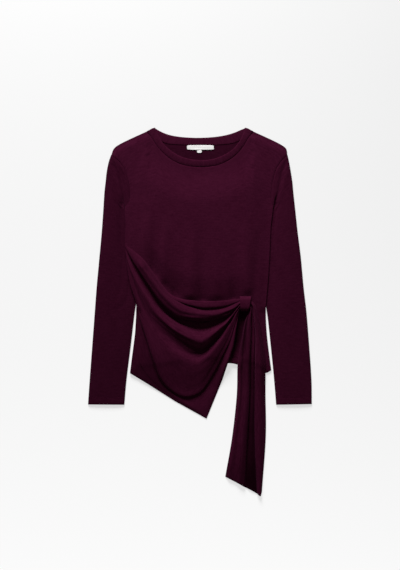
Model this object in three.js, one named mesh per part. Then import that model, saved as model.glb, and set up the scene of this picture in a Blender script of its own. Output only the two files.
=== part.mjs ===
// A long-sleeved crew-neck jersey top, laid on its back. A draped panel is sewn into one side seam,
// falls in cowl folds across the front, passes through a loop at the opposite hip and ends in a tail.
// Millimetres. X runs to the right, Y from hem to neck, Z up from the surface that the top lies on.
import * as THREE from 'three';

// ---- Driving sizes ---------------------------------------------------------------------------------

const WALL = 1.2;              // thickness of one layer of jersey
const SEAM_GAP = 0.3;          // between pieces that are sewn to each other
const FRONT_LEVEL = 5.0;       // underside of the front over the body's middle
const SLEEVE_PRESSED = 3.0;    // sleeve height where the body lies on it
const BODY_ON_SLEEVE = 3.8;    // underside of the back where it lies on a sleeve
const NECK_LEVEL = 3.9;        // underside of the front at the neckband, middle front
const BAND_THICKNESS = 2.4;    // folded neckband

const JERSEY_COLOUR = 0x3d1027;
const LABEL_COLOUR = 0xf2efe9;

// ---- Outlines --------------------------------------------------------------------------------------

// Side of the body, left and right: the side seam from hem to underarm, then the armhole seam to the
// shoulder tip.
const SIDE = [
  { y: -147, left: -168, right: 171 },
  { y: -110, left: -163.5, right: 167 },
  { y: -60, left: -157, right: 161 },
  { y: -15, left: -152.5, right: 158 },
  { y: 20, left: -153.5, right: 158.5 },
  { y: 60, left: -166, right: 162 },
  { y: 110, left: -175, right: 165.5 },
  { y: 160, left: -179.5, right: 168 },
  { y: 205, left: -178.5, right: 170 },
  { y: 249, left: -180, right: 175 },
  { y: 266, left: -169.5, right: 171 },
  { y: 290, left: -168, right: 171.5 },
  { y: 315, left: -172, right: 175 },
  { y: 342, left: -181.5, right: 183 },
  { y: 362, left: -195.5, right: 195.5 },
  { y: 376, left: -213, right: 209.5 },
];
const UNDERARM_ROW = 9;
const UNDERARM_Y = 249;
const RIGHT_HEM_Y = -140;

// Hem of the front and back, from the left side seam to the right one.
const HEM = [
  [-168, -147], [-100, -141], [-20, -129], [64, -123], [93, -127], [128, -137], [156, -146.5], [171, -140],
];

// Shoulder seam from its outer end to the neckband, on the left. The right one mirrors it.
const SHOULDER = [[-213, 376], [-206.5, 392], [-190, 404], [-160, 418.5], [-126, 434]];

// Seam between the neckband and the front, and between the neckband and the back.
const FRONT_NECK = [
  [-126, 434], [-114, 418], [-101, 398], [-86, 381.5], [-68, 367.5], [-46, 356.5], [-22, 351], [0, 349.5],
  [22, 350.5], [46, 355.5], [68, 365.5], [86, 379], [101, 396], [114, 417], [126, 434],
];
const BACK_NECK = [
  [-126, 434], [-110, 422], [-94, 412], [-74, 405], [-40, 402.5], [0, 401.5],
  [40, 402.5], [74, 406], [94, 413], [110, 422], [126, 434],
];
// Free edge of the neckband, front and back.
const FRONT_NECK_EDGE = [
  [-107, 440.5], [-100.5, 424], [-91, 408], [-77, 393], [-60, 380.5], [-40, 371], [-20, 366], [0, 364],
  [20, 365], [40, 369.5], [60, 378], [78, 390], [92, 405.5], [101, 422], [107, 440.5],
];
const BACK_NECK_EDGE = [
  [-107, 440.5], [-97, 434], [-82, 426.5], [-62, 420.5], [-34, 417], [0, 416],
  [34, 417], [62, 421], [82, 428], [97, 435.5], [107, 440.5],
];

// Sleeve stations from cuff to underarm: outer edge, inner edge and height. Above the slit the inner edge
// lies hidden under the body. A head station says which share of it is sleeve before the strip at the seam.
const SLEEVE_LEFT = [
  { outer: [-268.7, -221], inner: [-181.5, -221], height: 4.2 },
  { outer: [-264.5, -160], inner: [-176, -160], height: 5.6 },
  { outer: [-258.5, -80], inner: [-166, -80], height: 6.6 },
  { outer: [-252.5, 0], inner: [-156.5, 0], height: 6.9 },
  { outer: [-248, 60], inner: [-148, 50], height: 6.9 },
  { outer: [-241.5, 130], inner: [-141, 110], height: 6.9 },
  { outer: [-236, 190], inner: [-142, 162], height: 6.9 },
  { outer: [-232, 245], inner: [-157, 211], height: 6.9 },
  { outer: [-230.6, 268], inner: [-172, 231], height: 6.9 },
  { outer: [-229, 290], inner: [-180.6, 248.4], height: 6.9 },
];
const HEAD_LEFT = [
  { outer: [-226, 312], shown: 0.78 },
  { outer: [-223.5, 335], shown: 0.7 },
  { outer: [-219, 358], shown: 0.55 },
];
const SLEEVE_RIGHT = [
  { outer: [268.2, -219], inner: [182.6, -219], height: 4.2 },
  { outer: [264.5, -160], inner: [177.5, -160], height: 5.6 },
  { outer: [258.8, -80], inner: [169.5, -80], height: 6.6 },
  { outer: [253.6, 0], inner: [160.5, 0], height: 6.9 },
  { outer: [248.5, 60], inner: [150, 50], height: 6.9 },
  { outer: [242, 130], inner: [141, 110], height: 6.9 },
  { outer: [234.5, 190], inner: [141, 162], height: 6.9 },
  { outer: [228.5, 245], inner: [154, 211], height: 6.9 },
  { outer: [226, 268], inner: [168, 231], height: 6.9 },
  { outer: [223.5, 290], inner: [175.6, 248.4], height: 6.9 },
];
const HEAD_RIGHT = [
  { outer: [221, 312], shown: 0.78 },
  { outer: [217.5, 335], shown: 0.7 },
  { outer: [213.5, 358], shown: 0.55 },
];

// Folds of the draped panel, from its top edge to its free border. Each runs from the side seam (at height
// seam) through five plan points, c at its lowest, to the loop. z is its height above the front. The last
// row is the free border, which turns sharply at c, the panel's point.
const DRAPE_FOLDS = [
  { seam: 161, a: [-133, 123.5], b: [-76, 54], c: [-14, 28],
    d: [28, 26], e: [64, 28.3], loop: [95, 31.8], z: 0.2 },
  { seam: 160.6, a: [-134, 122.5], b: [-77, 52.5], c: [-14, 26.5],
    d: [28, 24.5], e: [64, 27], loop: [95, 30.6], z: 3 },
  { seam: 160, a: [-135, 121.5], b: [-78.2, 51], c: [-14, 17],
    d: [28, 15], e: [64, 19], loop: [95, 28], z: 5 },
  { seam: 159.2, a: [-136, 120], b: [-79.6, 49.5], c: [-12, 9.5],
    d: [28, 6.5], e: [64, 13], loop: [95, 25.5], z: 2 },
  { seam: 158.2, a: [-137.5, 118], b: [-81, 47.5], c: [-14, 8],
    d: [28, 4.5], e: [64, 11], loop: [95, 23.5], z: 10 },
  { seam: 156.5, a: [-142, 112], b: [-86, 41], c: [-15, -1],
    d: [28, -4], e: [64, 4], loop: [94.8, 21.5], z: 15 },
  { seam: 154.5, a: [-148, 105], b: [-92, 32], c: [-14, -13],
    d: [28, -13], e: [62, -4], loop: [94.5, 20], z: 10 },
  { seam: 152.5, a: [-149.5, 101], b: [-94, 27], c: [-12, -18],
    d: [28, -17], e: [62, -6.5], loop: [94.5, 18.6], z: 4 },
  { seam: 150, a: [-150, 94], b: [-95, 18], c: [-12, -34],
    d: [30, -28], e: [62, -12], loop: [94.4, 17.2], z: 1 },
  { seam: 146, a: [-150.5, 85], b: [-99, 9], c: [-12, -45],
    d: [30, -38], e: [63, -17], loop: [94.3, 15.9], z: 7 },
  { seam: 138, a: [-151.5, 73], b: [-105, 1], c: [-8, -64],
    d: [32, -50], e: [64, -21], loop: [94, 14.5], z: 13 },
  { seam: 130, a: [-152.5, 62], b: [-110, -8], c: [-8, -77],
    d: [31, -60], e: [64, -26], loop: [94, 13.2], z: 9 },
  { seam: 124, a: [-152, 52], b: [-109.5, -17], c: [-9, -88],
    d: [29, -68], e: [63, -30], loop: [94, 12], z: 3.5 },
  { seam: 118, a: [-151.5, 44], b: [-108, -26], c: [-11, -100],
    d: [30, -77], e: [64, -34], loop: [94, 10.6], z: 1 },
  { seam: 100, a: [-150, 20], b: [-108, -52], c: [-20, -125],
    d: [32, -91], e: [67, -38], loop: [94, 9], z: 12 },
  { seam: 66, a: [-142, -4], b: [-110, -78], c: [-26, -165],
    d: [30, -120], e: [66, -57], loop: [94, 8], z: 10 },
  { seam: 22, a: [-139, -25], b: [-113, -105], c: [-38, -202],
    d: [26, -143], e: [63, -78], loop: [94, 7], z: 6.5 },
  { seam: 6, a: [-146, -42], b: [-121, -124], c: [-34, -214],
    d: [37, -145], e: [69, -77], loop: [94, 6.2], z: 1.2 },
  { seam: -60, a: [-152, -97], b: [-116, -160], c: [-2, -234],
    d: [46, -150], e: [75, -80], loop: [94.2, 5.4], z: 2.5 },
  { seam: -146.5, a: [-125, -171], b: [-60, -210], c: [14.6, -252.5],
    d: [52, -160], e: [79, -83], loop: [94.5, 4.5], z: 0 },
];
// Where the gathered panel ends inside the loop, and how high it is heaped up there.
const GATHER = { x: 103.5, top: 30, bottom: 13, dome: 5.5 };

// Lengthwise folds of the tail from its inner edge to its outer one: where each starts inside the loop
// (start), leaves it (exit), its X at each of TAIL_STATIONS, and its end on the cut edge.
const TAIL_STATIONS = [-20, -60, -120, -200, -300];
const TAIL_FOLDS = [
  { start: 6, exit: [118.2, 3.5], x: [108, 101, 94, 92, 81], end: [64.3, -395.5], z: 0.4 },
  { start: 8, exit: [119.2, 5.5], x: [110.5, 104, 98.5, 97.5, 87], end: [71.5, -399.5], z: 6.5 },
  { start: 10.5, exit: [120, 7.2], x: [112.5, 108.5, 105, 103.5, 94], end: [84, -406.5], z: 5 },
  { start: 13, exit: [120.8, 9], x: [117, 114, 113, 109, 99.5], end: [95, -412.5], z: 9 },
  { start: 15, exit: [121.6, 10.6], x: [122, 122, 120, 116, 106], end: [103, -417], z: 7 },
  { start: 17, exit: [122.3, 12], x: [126, 129, 125.5, 120.5, 112], end: [112, -421.5], z: 1.2 },
  { start: 19, exit: [122.9, 13.3], x: [127.5, 131, 128, 125, 121], end: [122.5, -427], z: 2.6 },
  { start: 21, exit: [123.5, 14.6], x: [129, 133, 132, 131.5, 131], end: [136.5, -435], z: 1 },
  { start: 23, exit: [124.3, 16.2], x: [130.5, 135.5, 134.5, 133.3, 132.5], end: [138, -436], z: 7 },
  { start: 26, exit: [126, 19], x: [134, 140, 144, 145, 143.5], end: [144.8, -441.4], z: 9 },
  { start: 30, exit: [128.5, 22], x: [142, 148, 156, 156.5, 156], end: [148.4, -432], z: 0.8 },
];
const TAIL_START_X = 104.5;

// The strip of the loop, and its inner face in side view, from its top seam over the gathers and back under
// them: y, and z above the front.
const LOOP = { left: 95.5, right: 122, lowLeft: 97.5, lowRight: 116.1, thickness: 1.6 };
const LOOP_PATH = [
  [36.2, 0.4], [34.8, 4], [32.6, 8.2], [27.5, 10.6], [18, 11.4],
  [9.5, 10.6], [4.8, 7.6], [3.2, 4.4], [4.4, 1.2],
];
const LABEL = { x: 1, y: 394.3, width: 66, height: 13.4, thickness: 1, corner: 3 };
const SIZE_TAG = { x: -1.5, y: 384, width: 13, height: 6.4, thickness: 1, corner: 1.5 };

// ---- Curves ----------------------------------------------------------------------------------------

const clamp = (value) => Math.min(1, Math.max(0, value));
const mix = (a, b, t) => a + (b - a) * t;

function smooth(from, to, value) {
  const t = clamp((value - from) / (to - from));
  return t * t * (3 - 2 * t);
}

// A smooth line through evenly counted values; t runs from 0 at the first to 1 at the last.
function through(values, t) {
  const last = values.length - 1;
  const place = clamp(t) * last;
  const i = Math.min(Math.floor(place), last - 1);
  const f = place - i;
  const before = i > 0 ? values[i - 1] : 2 * values[0] - values[1];
  const after = i < last - 1 ? values[i + 2] : 2 * values[last] - values[last - 1];
  const slopeIn = (values[i + 1] - before) / 2;
  const slopeOut = (after - values[i]) / 2;
  const f2 = f * f;
  const f3 = f2 * f;
  return (2 * f3 - 3 * f2 + 1) * values[i] + (f3 - 2 * f2 + f) * slopeIn
    + (3 * f2 - 2 * f3) * values[i + 1] + (f3 - f2) * slopeOut;
}

// The same line with straight runs, for a border with a sharp corner.
function straight(values, t) {
  const last = values.length - 1;
  const place = clamp(t) * last;
  const i = Math.min(Math.floor(place), last - 1);
  return mix(values[i], values[i + 1], place - i);
}

const pointOn = (points, t) => [through(points.map((p) => p[0]), t), through(points.map((p) => p[1]), t)];

// Value in a column of a table whose rows are sorted by their key.
function lookUp(rows, key, column, at) {
  let i = 0;
  while (i < rows.length - 2 && at > rows[i + 1][key]) i += 1;
  const t = clamp((at - rows[i][key]) / (rows[i + 1][key] - rows[i][key]));
  const values = rows.map((row) => row[column]);
  return through(values, (i + t) / (rows.length - 1));
}

// Side of the body at a height, in straight runs between the rows of its table.
function sideX(y, side) {
  let i = 0;
  while (i < SIDE.length - 2 && y > SIDE[i + 1].y) i += 1;
  return mix(SIDE[i][side], SIDE[i + 1][side], clamp((y - SIDE[i].y) / (SIDE[i + 1].y - SIDE[i].y)));
}

function hemY(x) {
  return lookUp(HEM.map(([hemX, y]) => ({ x: hemX, y })), 'x', 'y', x);
}

// ---- Levels ----------------------------------------------------------------------------------------

const LIFT_REACH = 40;         // how far in from the side the body rests on a sleeve's tucked edge
const LIFT_BLEND = 26;

// Underside of the back: flat on the surface, raised where it lies on the sleeves' inner edges.
function backUnder(x, y) {
  const inward = Math.min(x - sideX(y, 'left'), sideX(y, 'right') - x);
  const across = 1 - smooth(LIFT_REACH, LIFT_REACH + LIFT_BLEND, inward);
  const along = smooth(-4, 14, y) * (1 - smooth(UNDERARM_Y + 2, UNDERARM_Y + 26, y));
  return BODY_ON_SLEEVE * across * along;
}

const backTop = (x, y) => backUnder(x, y) + WALL;

const EDGE_FALL = 20;          // how far in from an edge the front takes to reach its level
const NECK_FALL = 40;          // and how far below the neckband

// Distance below the shoulder line, measured in Y.
function belowShoulder(x, y) {
  const outward = Math.abs(x);
  const [tip, bend, upper, middle, neck] = SHOULDER.map(([px, py]) => ({ x: -px, y: py }));
  const rows = [neck, middle, upper, bend, tip];
  const line = outward < neck.x ? neck.y : lookUp(rows, 'x', 'y', Math.min(outward, tip.x));
  return line - y;
}

// How near a place is to the front's neck edge, from 1 at the edge to 0 well below it.
function nearNeck(x, y) {
  const half = FRONT_NECK[FRONT_NECK.length - 1][0];
  if (Math.abs(x) >= half) return 0;
  const edge = pointOn(FRONT_NECK, (x + half) / (2 * half))[1];
  return 1 - smooth(0, NECK_FALL, edge - y);
}

// Underside of the front: close over the back along hem, sides and shoulders, lower at the neckband, level
// elsewhere.
function frontUnder(x, y) {
  const inward = Math.min(x - sideX(y, 'left'), sideX(y, 'right') - x);
  const side = y > UNDERARM_Y ? 1 : smooth(-2, EDGE_FALL, inward);
  const hem = smooth(-2, EDGE_FALL, y - hemY(x));
  const shoulder = smooth(-1, EDGE_FALL, belowShoulder(x, y));
  const closed = backTop(x, y) + SEAM_GAP;
  const open = Math.max(mix(FRONT_LEVEL, NECK_LEVEL, nearNeck(x, y)), closed);
  return mix(closed, open, side * hem * shoulder);
}

const frontTop = (x, y) => frontUnder(x, y) + WALL;

// ---- Solids ----------------------------------------------------------------------------------------

// A closed solid from vertices and faces with three or four corners.
function solid(vertices, faces) {
  const index = [];
  for (const face of faces) {
    index.push(face[0], face[1], face[2]);
    if (face.length === 4) index.push(face[0], face[2], face[3]);
  }
  const geometry = new THREE.BufferGeometry();
  geometry.setAttribute('position', new THREE.Float32BufferAttribute(vertices.flat(), 3));
  geometry.setIndex(index);
  geometry.computeVertexNormals();
  return geometry;
}

// A sheet with a wall: rows of upper points, rows of lower points, and a rim round the border.
function sheet(upper, lower) {
  const rows = upper.length;
  const columns = upper[0].length;
  const vertices = [...upper.flat(), ...lower.flat()];
  const top = (r, c) => r * columns + c;
  const bottom = (r, c) => rows * columns + r * columns + c;
  const faces = [];
  for (let r = 0; r < rows - 1; r += 1) {
    for (let c = 0; c < columns - 1; c += 1) {
      faces.push([top(r, c), top(r, c + 1), top(r + 1, c + 1), top(r + 1, c)]);
      faces.push([bottom(r, c), bottom(r + 1, c), bottom(r + 1, c + 1), bottom(r, c + 1)]);
    }
  }
  for (let c = 0; c < columns - 1; c += 1) {
    faces.push([top(0, c + 1), top(0, c), bottom(0, c), bottom(0, c + 1)]);
    faces.push([top(rows - 1, c), top(rows - 1, c + 1), bottom(rows - 1, c + 1), bottom(rows - 1, c)]);
  }
  const end = columns - 1;
  for (let r = 0; r < rows - 1; r += 1) {
    faces.push([top(r, 0), top(r + 1, 0), bottom(r + 1, 0), bottom(r, 0)]);
    faces.push([top(r + 1, end), top(r, end), bottom(r, end), bottom(r + 1, end)]);
  }
  return solid(vertices, faces);
}

// Points of a grid moved against its own normals by one wall.
function wallBelow(grid, thickness) {
  const rows = grid.length;
  const columns = grid[0].length;
  return grid.map((row, r) => row.map((point, c) => {
    const here = new THREE.Vector3(...point);
    const along = new THREE.Vector3(...row[Math.min(c + 1, columns - 1)]);
    along.sub(new THREE.Vector3(...row[Math.max(c - 1, 0)]));
    const across = new THREE.Vector3(...grid[Math.min(r + 1, rows - 1)][c]);
    across.sub(new THREE.Vector3(...grid[Math.max(r - 1, 0)][c]));
    const normal = along.cross(across).normalize();
    return here.addScaledVector(normal, -thickness).toArray();
  }));
}

// A material for each finish, and the group that holds the garment.
const finish = (name, color, roughness) => (
  new THREE.MeshStandardMaterial({ name, color, roughness, metalness: 0 })
);
const jersey = finish('jersey', JERSEY_COLOUR, 0.9);
const woven = finish('woven_label', LABEL_COLOUR, 0.8);
const garment = new THREE.Group();

function add(name, geometry, material) {
  const mesh = new THREE.Mesh(geometry, material);
  mesh.name = name;
  garment.add(mesh);
}

// ---- Front and back --------------------------------------------------------------------------------

const SHOULDER_STEPS = 4;
const NECK_STEPS = 16;
const PANEL_COLUMNS = 2 * SHOULDER_STEPS + NECK_STEPS;
const mirrored = (points) => points.map(([x, y]) => [-x, y]).reverse();

// Upper edge of a panel: shoulder, neck, shoulder.
function panelTop(neck, column) {
  if (column <= SHOULDER_STEPS) return pointOn(SHOULDER, column / SHOULDER_STEPS);
  const fromRight = PANEL_COLUMNS - column;
  if (fromRight <= SHOULDER_STEPS) {
    const right = mirrored(SHOULDER);
    right[right.length - 1] = [SIDE[SIDE.length - 1].right, SHOULDER[0][1]];
    return pointOn(right, 1 - fromRight / SHOULDER_STEPS);
  }
  return pointOn(neck, (column - SHOULDER_STEPS) / NECK_STEPS);
}

// Plan of a panel: a grid whose rows are those of the side's table, bent to the hem and the upper edge.
function panelPlan(neck) {
  const low = { left: HEM[0], right: HEM[HEM.length - 1] };
  const high = { left: panelTop(neck, 0), right: panelTop(neck, PANEL_COLUMNS) };
  const share = (y) => (y - low.left[1]) / (high.left[1] - low.left[1]);
  const underarm = share(UNDERARM_Y);
  return insetBorder(SIDE.map(({ y, left: leftX, right: rightX }, r) => {
    const v = share(y);
    const left = [leftX, y];
    const right = [rightX, r === 0 ? RIGHT_HEM_Y : y];
    const hemPull = (1 - v) ** 2;
    const topPull = clamp((v - underarm) / (1 - underarm)) ** 1.2;
    return Array.from({ length: PANEL_COLUMNS + 1 }, (_, c) => {
      const u = c / PANEL_COLUMNS;
      const hemX = mix(low.left[0], low.right[0], u);
      const hem = [hemX, hemY(hemX)];
      const top = panelTop(neck, c);
      return [0, 1].map((axis) => mix(left[axis], right[axis], u)
        + hemPull * (hem[axis] - mix(low.left[axis], low.right[axis], u))
        + topPull * (top[axis] - mix(high.left[axis], high.right[axis], u)));
    });
  }), SEAM_GAP);
}

// Moves the border of a plan grid inwards, square to the border.
function insetBorder(plan, inset) {
  const rows = plan.length - 1;
  const columns = plan[0].length - 1;
  const border = [];
  for (let c = 0; c < columns; c += 1) border.push([0, c]);
  for (let r = 0; r < rows; r += 1) border.push([r, columns]);
  for (let c = columns; c > 0; c -= 1) border.push([rows, c]);
  for (let r = rows; r > 0; r -= 1) border.push([r, 0]);
  const moved = plan.map((row) => row.map((point) => [...point]));
  border.forEach(([r, c], i) => {
    const [nextRow, nextColumn] = border[(i + 1) % border.length];
    const [lastRow, lastColumn] = border[(i + border.length - 1) % border.length];
    const dx = plan[nextRow][nextColumn][0] - plan[lastRow][lastColumn][0];
    const dy = plan[nextRow][nextColumn][1] - plan[lastRow][lastColumn][1];
    const length = Math.hypot(dx, dy);
    moved[r][c] = [plan[r][c][0] - dy * inset / length, plan[r][c][1] + dx * inset / length];
  });
  return moved;
}

function panel(neck, under) {
  const lower = panelPlan(neck).map((row) => row.map(([x, y]) => [x, y, under(x, y)]));
  const upper = lower.map((row) => row.map(([x, y, z]) => [x, y, z + WALL]));
  return sheet(upper, lower);
}

// ---- Sleeves ---------------------------------------------------------------------------------------

// Shares of a sleeve's width at which its rings have points. The armhole's own corners are among them.
const SLEEVE_TOP_SHARES = [0, 0.5, 1, 2, 3, 4, 6, 8, 9, 10, 11, 11.5, 12].map((twelfth) => twelfth / 12);
const SLEEVE_UNDER_SHARES = [11, 10, 8, 6, 4, 2, 1].map((twelfth) => twelfth / 12);
const EDGE_ROUND = 0.1;        // share of the width that a sleeve's folded edge takes to turn
const EDGE_MIDDLE = 1.5;       // height of the folded edge
const BESIDE_BODY = 11;        // how far from the body's side the sleeve starts to swell

// Plan point of the armhole seam, from the shoulder tip (0) to the underarm (1), moved outwards by the gap.
function armhole(side, share) {
  const rows = SIDE.slice(UNDERARM_ROW).reverse();
  const outward = side === 'left' ? -SEAM_GAP : SEAM_GAP;
  return [straight(rows.map((row) => row[side]), share) + outward, straight(rows.map((row) => row.y), share)];
}

// Every station of a sleeve as a line across it: where a share of the width lies, and how high.
function sleeveStations(side, stations, head) {
  const lines = stations.map(({ outer, inner, height }) => {
    const at = (share) => [mix(outer[0], inner[0], share), mix(outer[1], inner[1], share)];
    const shown = shareBesideBody(side, at);
    return { at, top: (share) => sleeveHeight(share / shown, height) };
  });
  const underarm = lines[lines.length - 1];
  head.forEach(({ outer, shown }, k) => {
    const t = (k + 1) / (head.length + 1);
    const blend = (share) => {
      const from = underarm.at(share);
      const to = armhole(side, share);
      return [mix(from[0], to[0], t), mix(from[1], to[1], t)];
    };
    const shift = [outer[0] - blend(0)[0], outer[1] - blend(0)[1]];
    const at = (share) => blend(share).map((value, axis) => value + shift[axis] * (1 - share) ** 2);
    const { height } = stations[stations.length - 1];
    const top = (share) => {
      const strip = smooth(shown - 0.14, shown + 0.06, share);
      return mix(sleeveHeight(share / shown, height), FRONT_LEVEL + WALL, strip);
    };
    lines.push({ at, top });
  });
  lines.push({ at: (share) => armhole(side, share), top: (share) => frontTop(...armhole(side, share)) });
  return lines;
}

// Share of a line across a sleeve that shows beside the body.
function shareBesideBody(side, at) {
  const steps = 200;
  for (let k = 0; k <= steps; k += 1) {
    const [x, y] = at(k / steps);
    if (Math.abs(x) < Math.abs(sideX(y, side)) + BESIDE_BODY) return k / steps;
  }
  return 1;
}

// Height of a sleeve's upper layer: full in the middle of what shows, pressed flat at its edges and beyond.
function sleeveHeight(share, height) {
  const swell = share < 1 ? Math.sin(Math.PI * share) ** 0.6 : 0;
  return SLEEVE_PRESSED + (height - SLEEVE_PRESSED) * swell;
}

// A flattened tube with a wall, open at the cuff and at the armhole.
function sleeve(side, stations, head) {
  const ring = (line, wall) => {
    const width = Math.hypot(...[0, 1].map((axis) => line.at(1)[axis] - line.at(0)[axis]));
    const inset = wall / width;
    const point = (share, upper) => {
      const moved = mix(inset, 1 - inset, share);
      const fromEdge = clamp(Math.min(share, 1 - share) / EDGE_ROUND);
      const turn = Math.sqrt(1 - (1 - fromEdge) ** 2);
      const reach = upper ? line.top(moved) - EDGE_MIDDLE - wall : wall - EDGE_MIDDLE;
      return [...line.at(moved), EDGE_MIDDLE + reach * turn];
    };
    return [
      ...SLEEVE_TOP_SHARES.map((share) => point(share, true)),
      ...SLEEVE_UNDER_SHARES.map((share) => point(share, false)),
    ];
  };
  const lines = sleeveStations(side, stations, head);
  return tube(lines.map((line) => ring(line, 0)), lines.map((line) => ring(line, WALL)), side === 'left');
}

// A tube from matching outer and inner rings, with a flat rim at each end.
function tube(outer, inner, flip) {
  const count = outer[0].length;
  const rows = outer.length;
  const out = (r, k) => r * count + k % count;
  const into = (r, k) => rows * count + r * count + k % count;
  const faces = [];
  for (let k = 0; k < count; k += 1) {
    for (let r = 0; r < rows - 1; r += 1) {
      faces.push([out(r, k), out(r, k + 1), out(r + 1, k + 1), out(r + 1, k)]);
      faces.push([into(r, k), into(r + 1, k), into(r + 1, k + 1), into(r, k + 1)]);
    }
    faces.push([out(0, k + 1), out(0, k), into(0, k), into(0, k + 1)]);
    faces.push([out(rows - 1, k), out(rows - 1, k + 1), into(rows - 1, k + 1), into(rows - 1, k)]);
  }
  return solid([...outer.flat(), ...inner.flat()], flip ? faces : faces.map((face) => [...face].reverse()));
}

// ---- Neckband --------------------------------------------------------------------------------------

// Cross-section from the sewn edge (0) to the free edge (1), with its height either side of the middle.
const BAND_SECTION = [
  [0, 0.7], [0.3, 1.2], [0.78, 1.1], [1, 0.6], [1, -0.6], [0.78, -1.1], [0.3, -1.1], [0, -0.7],
];
const BAND_TURN_STEPS = 4;     // facets where the band folds over at each end of the neck
const BACK_BAND_MIDDLE = BAND_THICKNESS / 2;
const FOLD_BAND_MIDDLE = BAND_THICKNESS * 1.5 + SEAM_GAP;
const FRONT_BAND_MIDDLE = NECK_LEVEL + BAND_THICKNESS / 2;

function neckband() {
  const stations = [];
  for (let i = 0; i <= NECK_STEPS; i += 1) {
    const t = i / NECK_STEPS;
    const middle = mix(FOLD_BAND_MIDDLE, FRONT_BAND_MIDDLE, smooth(0, 0.3, Math.min(t, 1 - t)));
    stations.push({ sewn: pointOn(FRONT_NECK, t), free: pointOn(FRONT_NECK_EDGE, t), middle, turn: 0 });
  }
  const turnOver = (side, sign) => {
    for (let i = 1; i < BAND_TURN_STEPS; i += 1) {
      const turn = Math.PI * (sign > 0 ? i : BAND_TURN_STEPS - i) / BAND_TURN_STEPS;
      const middle = mix(BACK_BAND_MIDDLE, FOLD_BAND_MIDDLE, (1 + Math.cos(turn)) / 2);
      stations.push({ sewn: pointOn(FRONT_NECK, side), free: pointOn(FRONT_NECK_EDGE, side), middle, turn });
    }
  };
  turnOver(1, 1);
  for (let i = NECK_STEPS; i >= 0; i -= 1) {
    const t = i / NECK_STEPS;
    const middle = BACK_BAND_MIDDLE;
    stations.push({ sewn: pointOn(BACK_NECK, t), free: pointOn(BACK_NECK_EDGE, t), middle, turn: Math.PI });
  }
  turnOver(0, -1);
  const foldRadius = (FOLD_BAND_MIDDLE - BACK_BAND_MIDDLE) / 2;
  const rings = stations.map(({ sewn, free, middle, turn }) => {
    const across = [free[0] - sewn[0], free[1] - sewn[1]];
    const length = Math.hypot(...across);
    const side = Math.sign(sewn[0] || 1);
    const outward = [side * across[1] / length, -side * across[0] / length].map((value) => Math.abs(value));
    outward[0] *= side;
    return BAND_SECTION.map(([share, height]) => {
      const reach = foldRadius * Math.sin(turn) + height * Math.sin(turn);
      return [
        sewn[0] + across[0] * share + outward[0] * reach,
        sewn[1] + across[1] * share + outward[1] * reach,
        middle + height * Math.cos(turn),
      ];
    });
  });
  return closedSweep(rings);
}

// A ring-shaped solid from sections that follow each other round and join up.
function closedSweep(rings) {
  const count = rings[0].length;
  const faces = [];
  rings.forEach((_, r) => {
    const next = (r + 1) % rings.length;
    for (let k = 0; k < count; k += 1) {
      const k1 = (k + 1) % count;
      faces.push([r * count + k, next * count + k, next * count + k1, r * count + k1]);
    }
  });
  return solid(rings.flat(), faces);
}

// ---- Draped panel and its tail ---------------------------------------------------------------------

const DRAPE_CLEAR = 1.2;       // between the front and the cloth that lies on it
const FOLD_WALL_SHARE = 0.5;   // most of a fold's height that its wall may take up
const STEEPEST_WALL = 3.5;     // and the most that it measures straight down
const HEM_DROP = 28;           // how far past the hem the draped cloth takes to reach the surface

// Upper face of cloth that lies flat at a place: on the front, and past its hem on the surface.
function restingTop(x, y) {
  const inside = smooth(-HEM_DROP, -1, y - hemY(x));
  return WALL + inside * (frontTop(x, Math.max(y, hemY(x))) + DRAPE_CLEAR);
}

// Share of each fold's height at the stations from seam to gathers, and of the gathers' dome.
const DRAPE_SWELL = [0.03, 0.5, 0.9, 1, 1, 0.75, 0.22, 0.08];
const DRAPE_DOME = [0, 0, 0, 0, 0, 0.2, 0.85, 1];
const DRAPE_STATION_STEPS = 2;
const FOLD_STEPS = 2;

// Lower face of folded cloth. It lies straight below the upper face, further down where that is steep, so
// that the wall keeps its thickness, and never reaches what the cloth lies on.
function wallUnderFolds(grid) {
  const rows = grid.length;
  const columns = grid[0].length;
  return grid.map((row, r) => row.map((point, c) => {
    const along = new THREE.Vector3(...row[Math.min(c + 1, columns - 1)]);
    along.sub(new THREE.Vector3(...row[Math.max(c - 1, 0)]));
    const across = new THREE.Vector3(...grid[Math.min(r + 1, rows - 1)][c]);
    across.sub(new THREE.Vector3(...grid[Math.max(r - 1, 0)][c]));
    const level = Math.abs(along.cross(across).normalize().z);
    const raised = point[2] - restingTop(point[0], point[1]);
    const drop = Math.min(WALL / Math.max(level, 0.1), WALL + FOLD_WALL_SHARE * raised, STEEPEST_WALL);
    return [point[0], point[1], point[2] - Math.max(WALL, drop)];
  }));
}

// A grid from fold lines: extra rows between them, and steps along each.
function foldGrid(lines, rowSteps, columns, heightAt) {
  const rows = (lines.length - 1) * rowSteps;
  return Array.from({ length: rows + 1 }, (_, r) => {
    const v = r / rows;
    return Array.from({ length: columns + 1 }, (__, c) => {
      const u = c / columns;
      const column = lines.map((line) => line(u));
      const x = through(column.map((p) => p[0]), v);
      const y = through(column.map((p) => p[1]), v);
      const z = through(column.map((p) => p[2]), v);
      return [x, y, heightAt(x, y, Math.max(0, z), u, v)];
    });
  });
}

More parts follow.
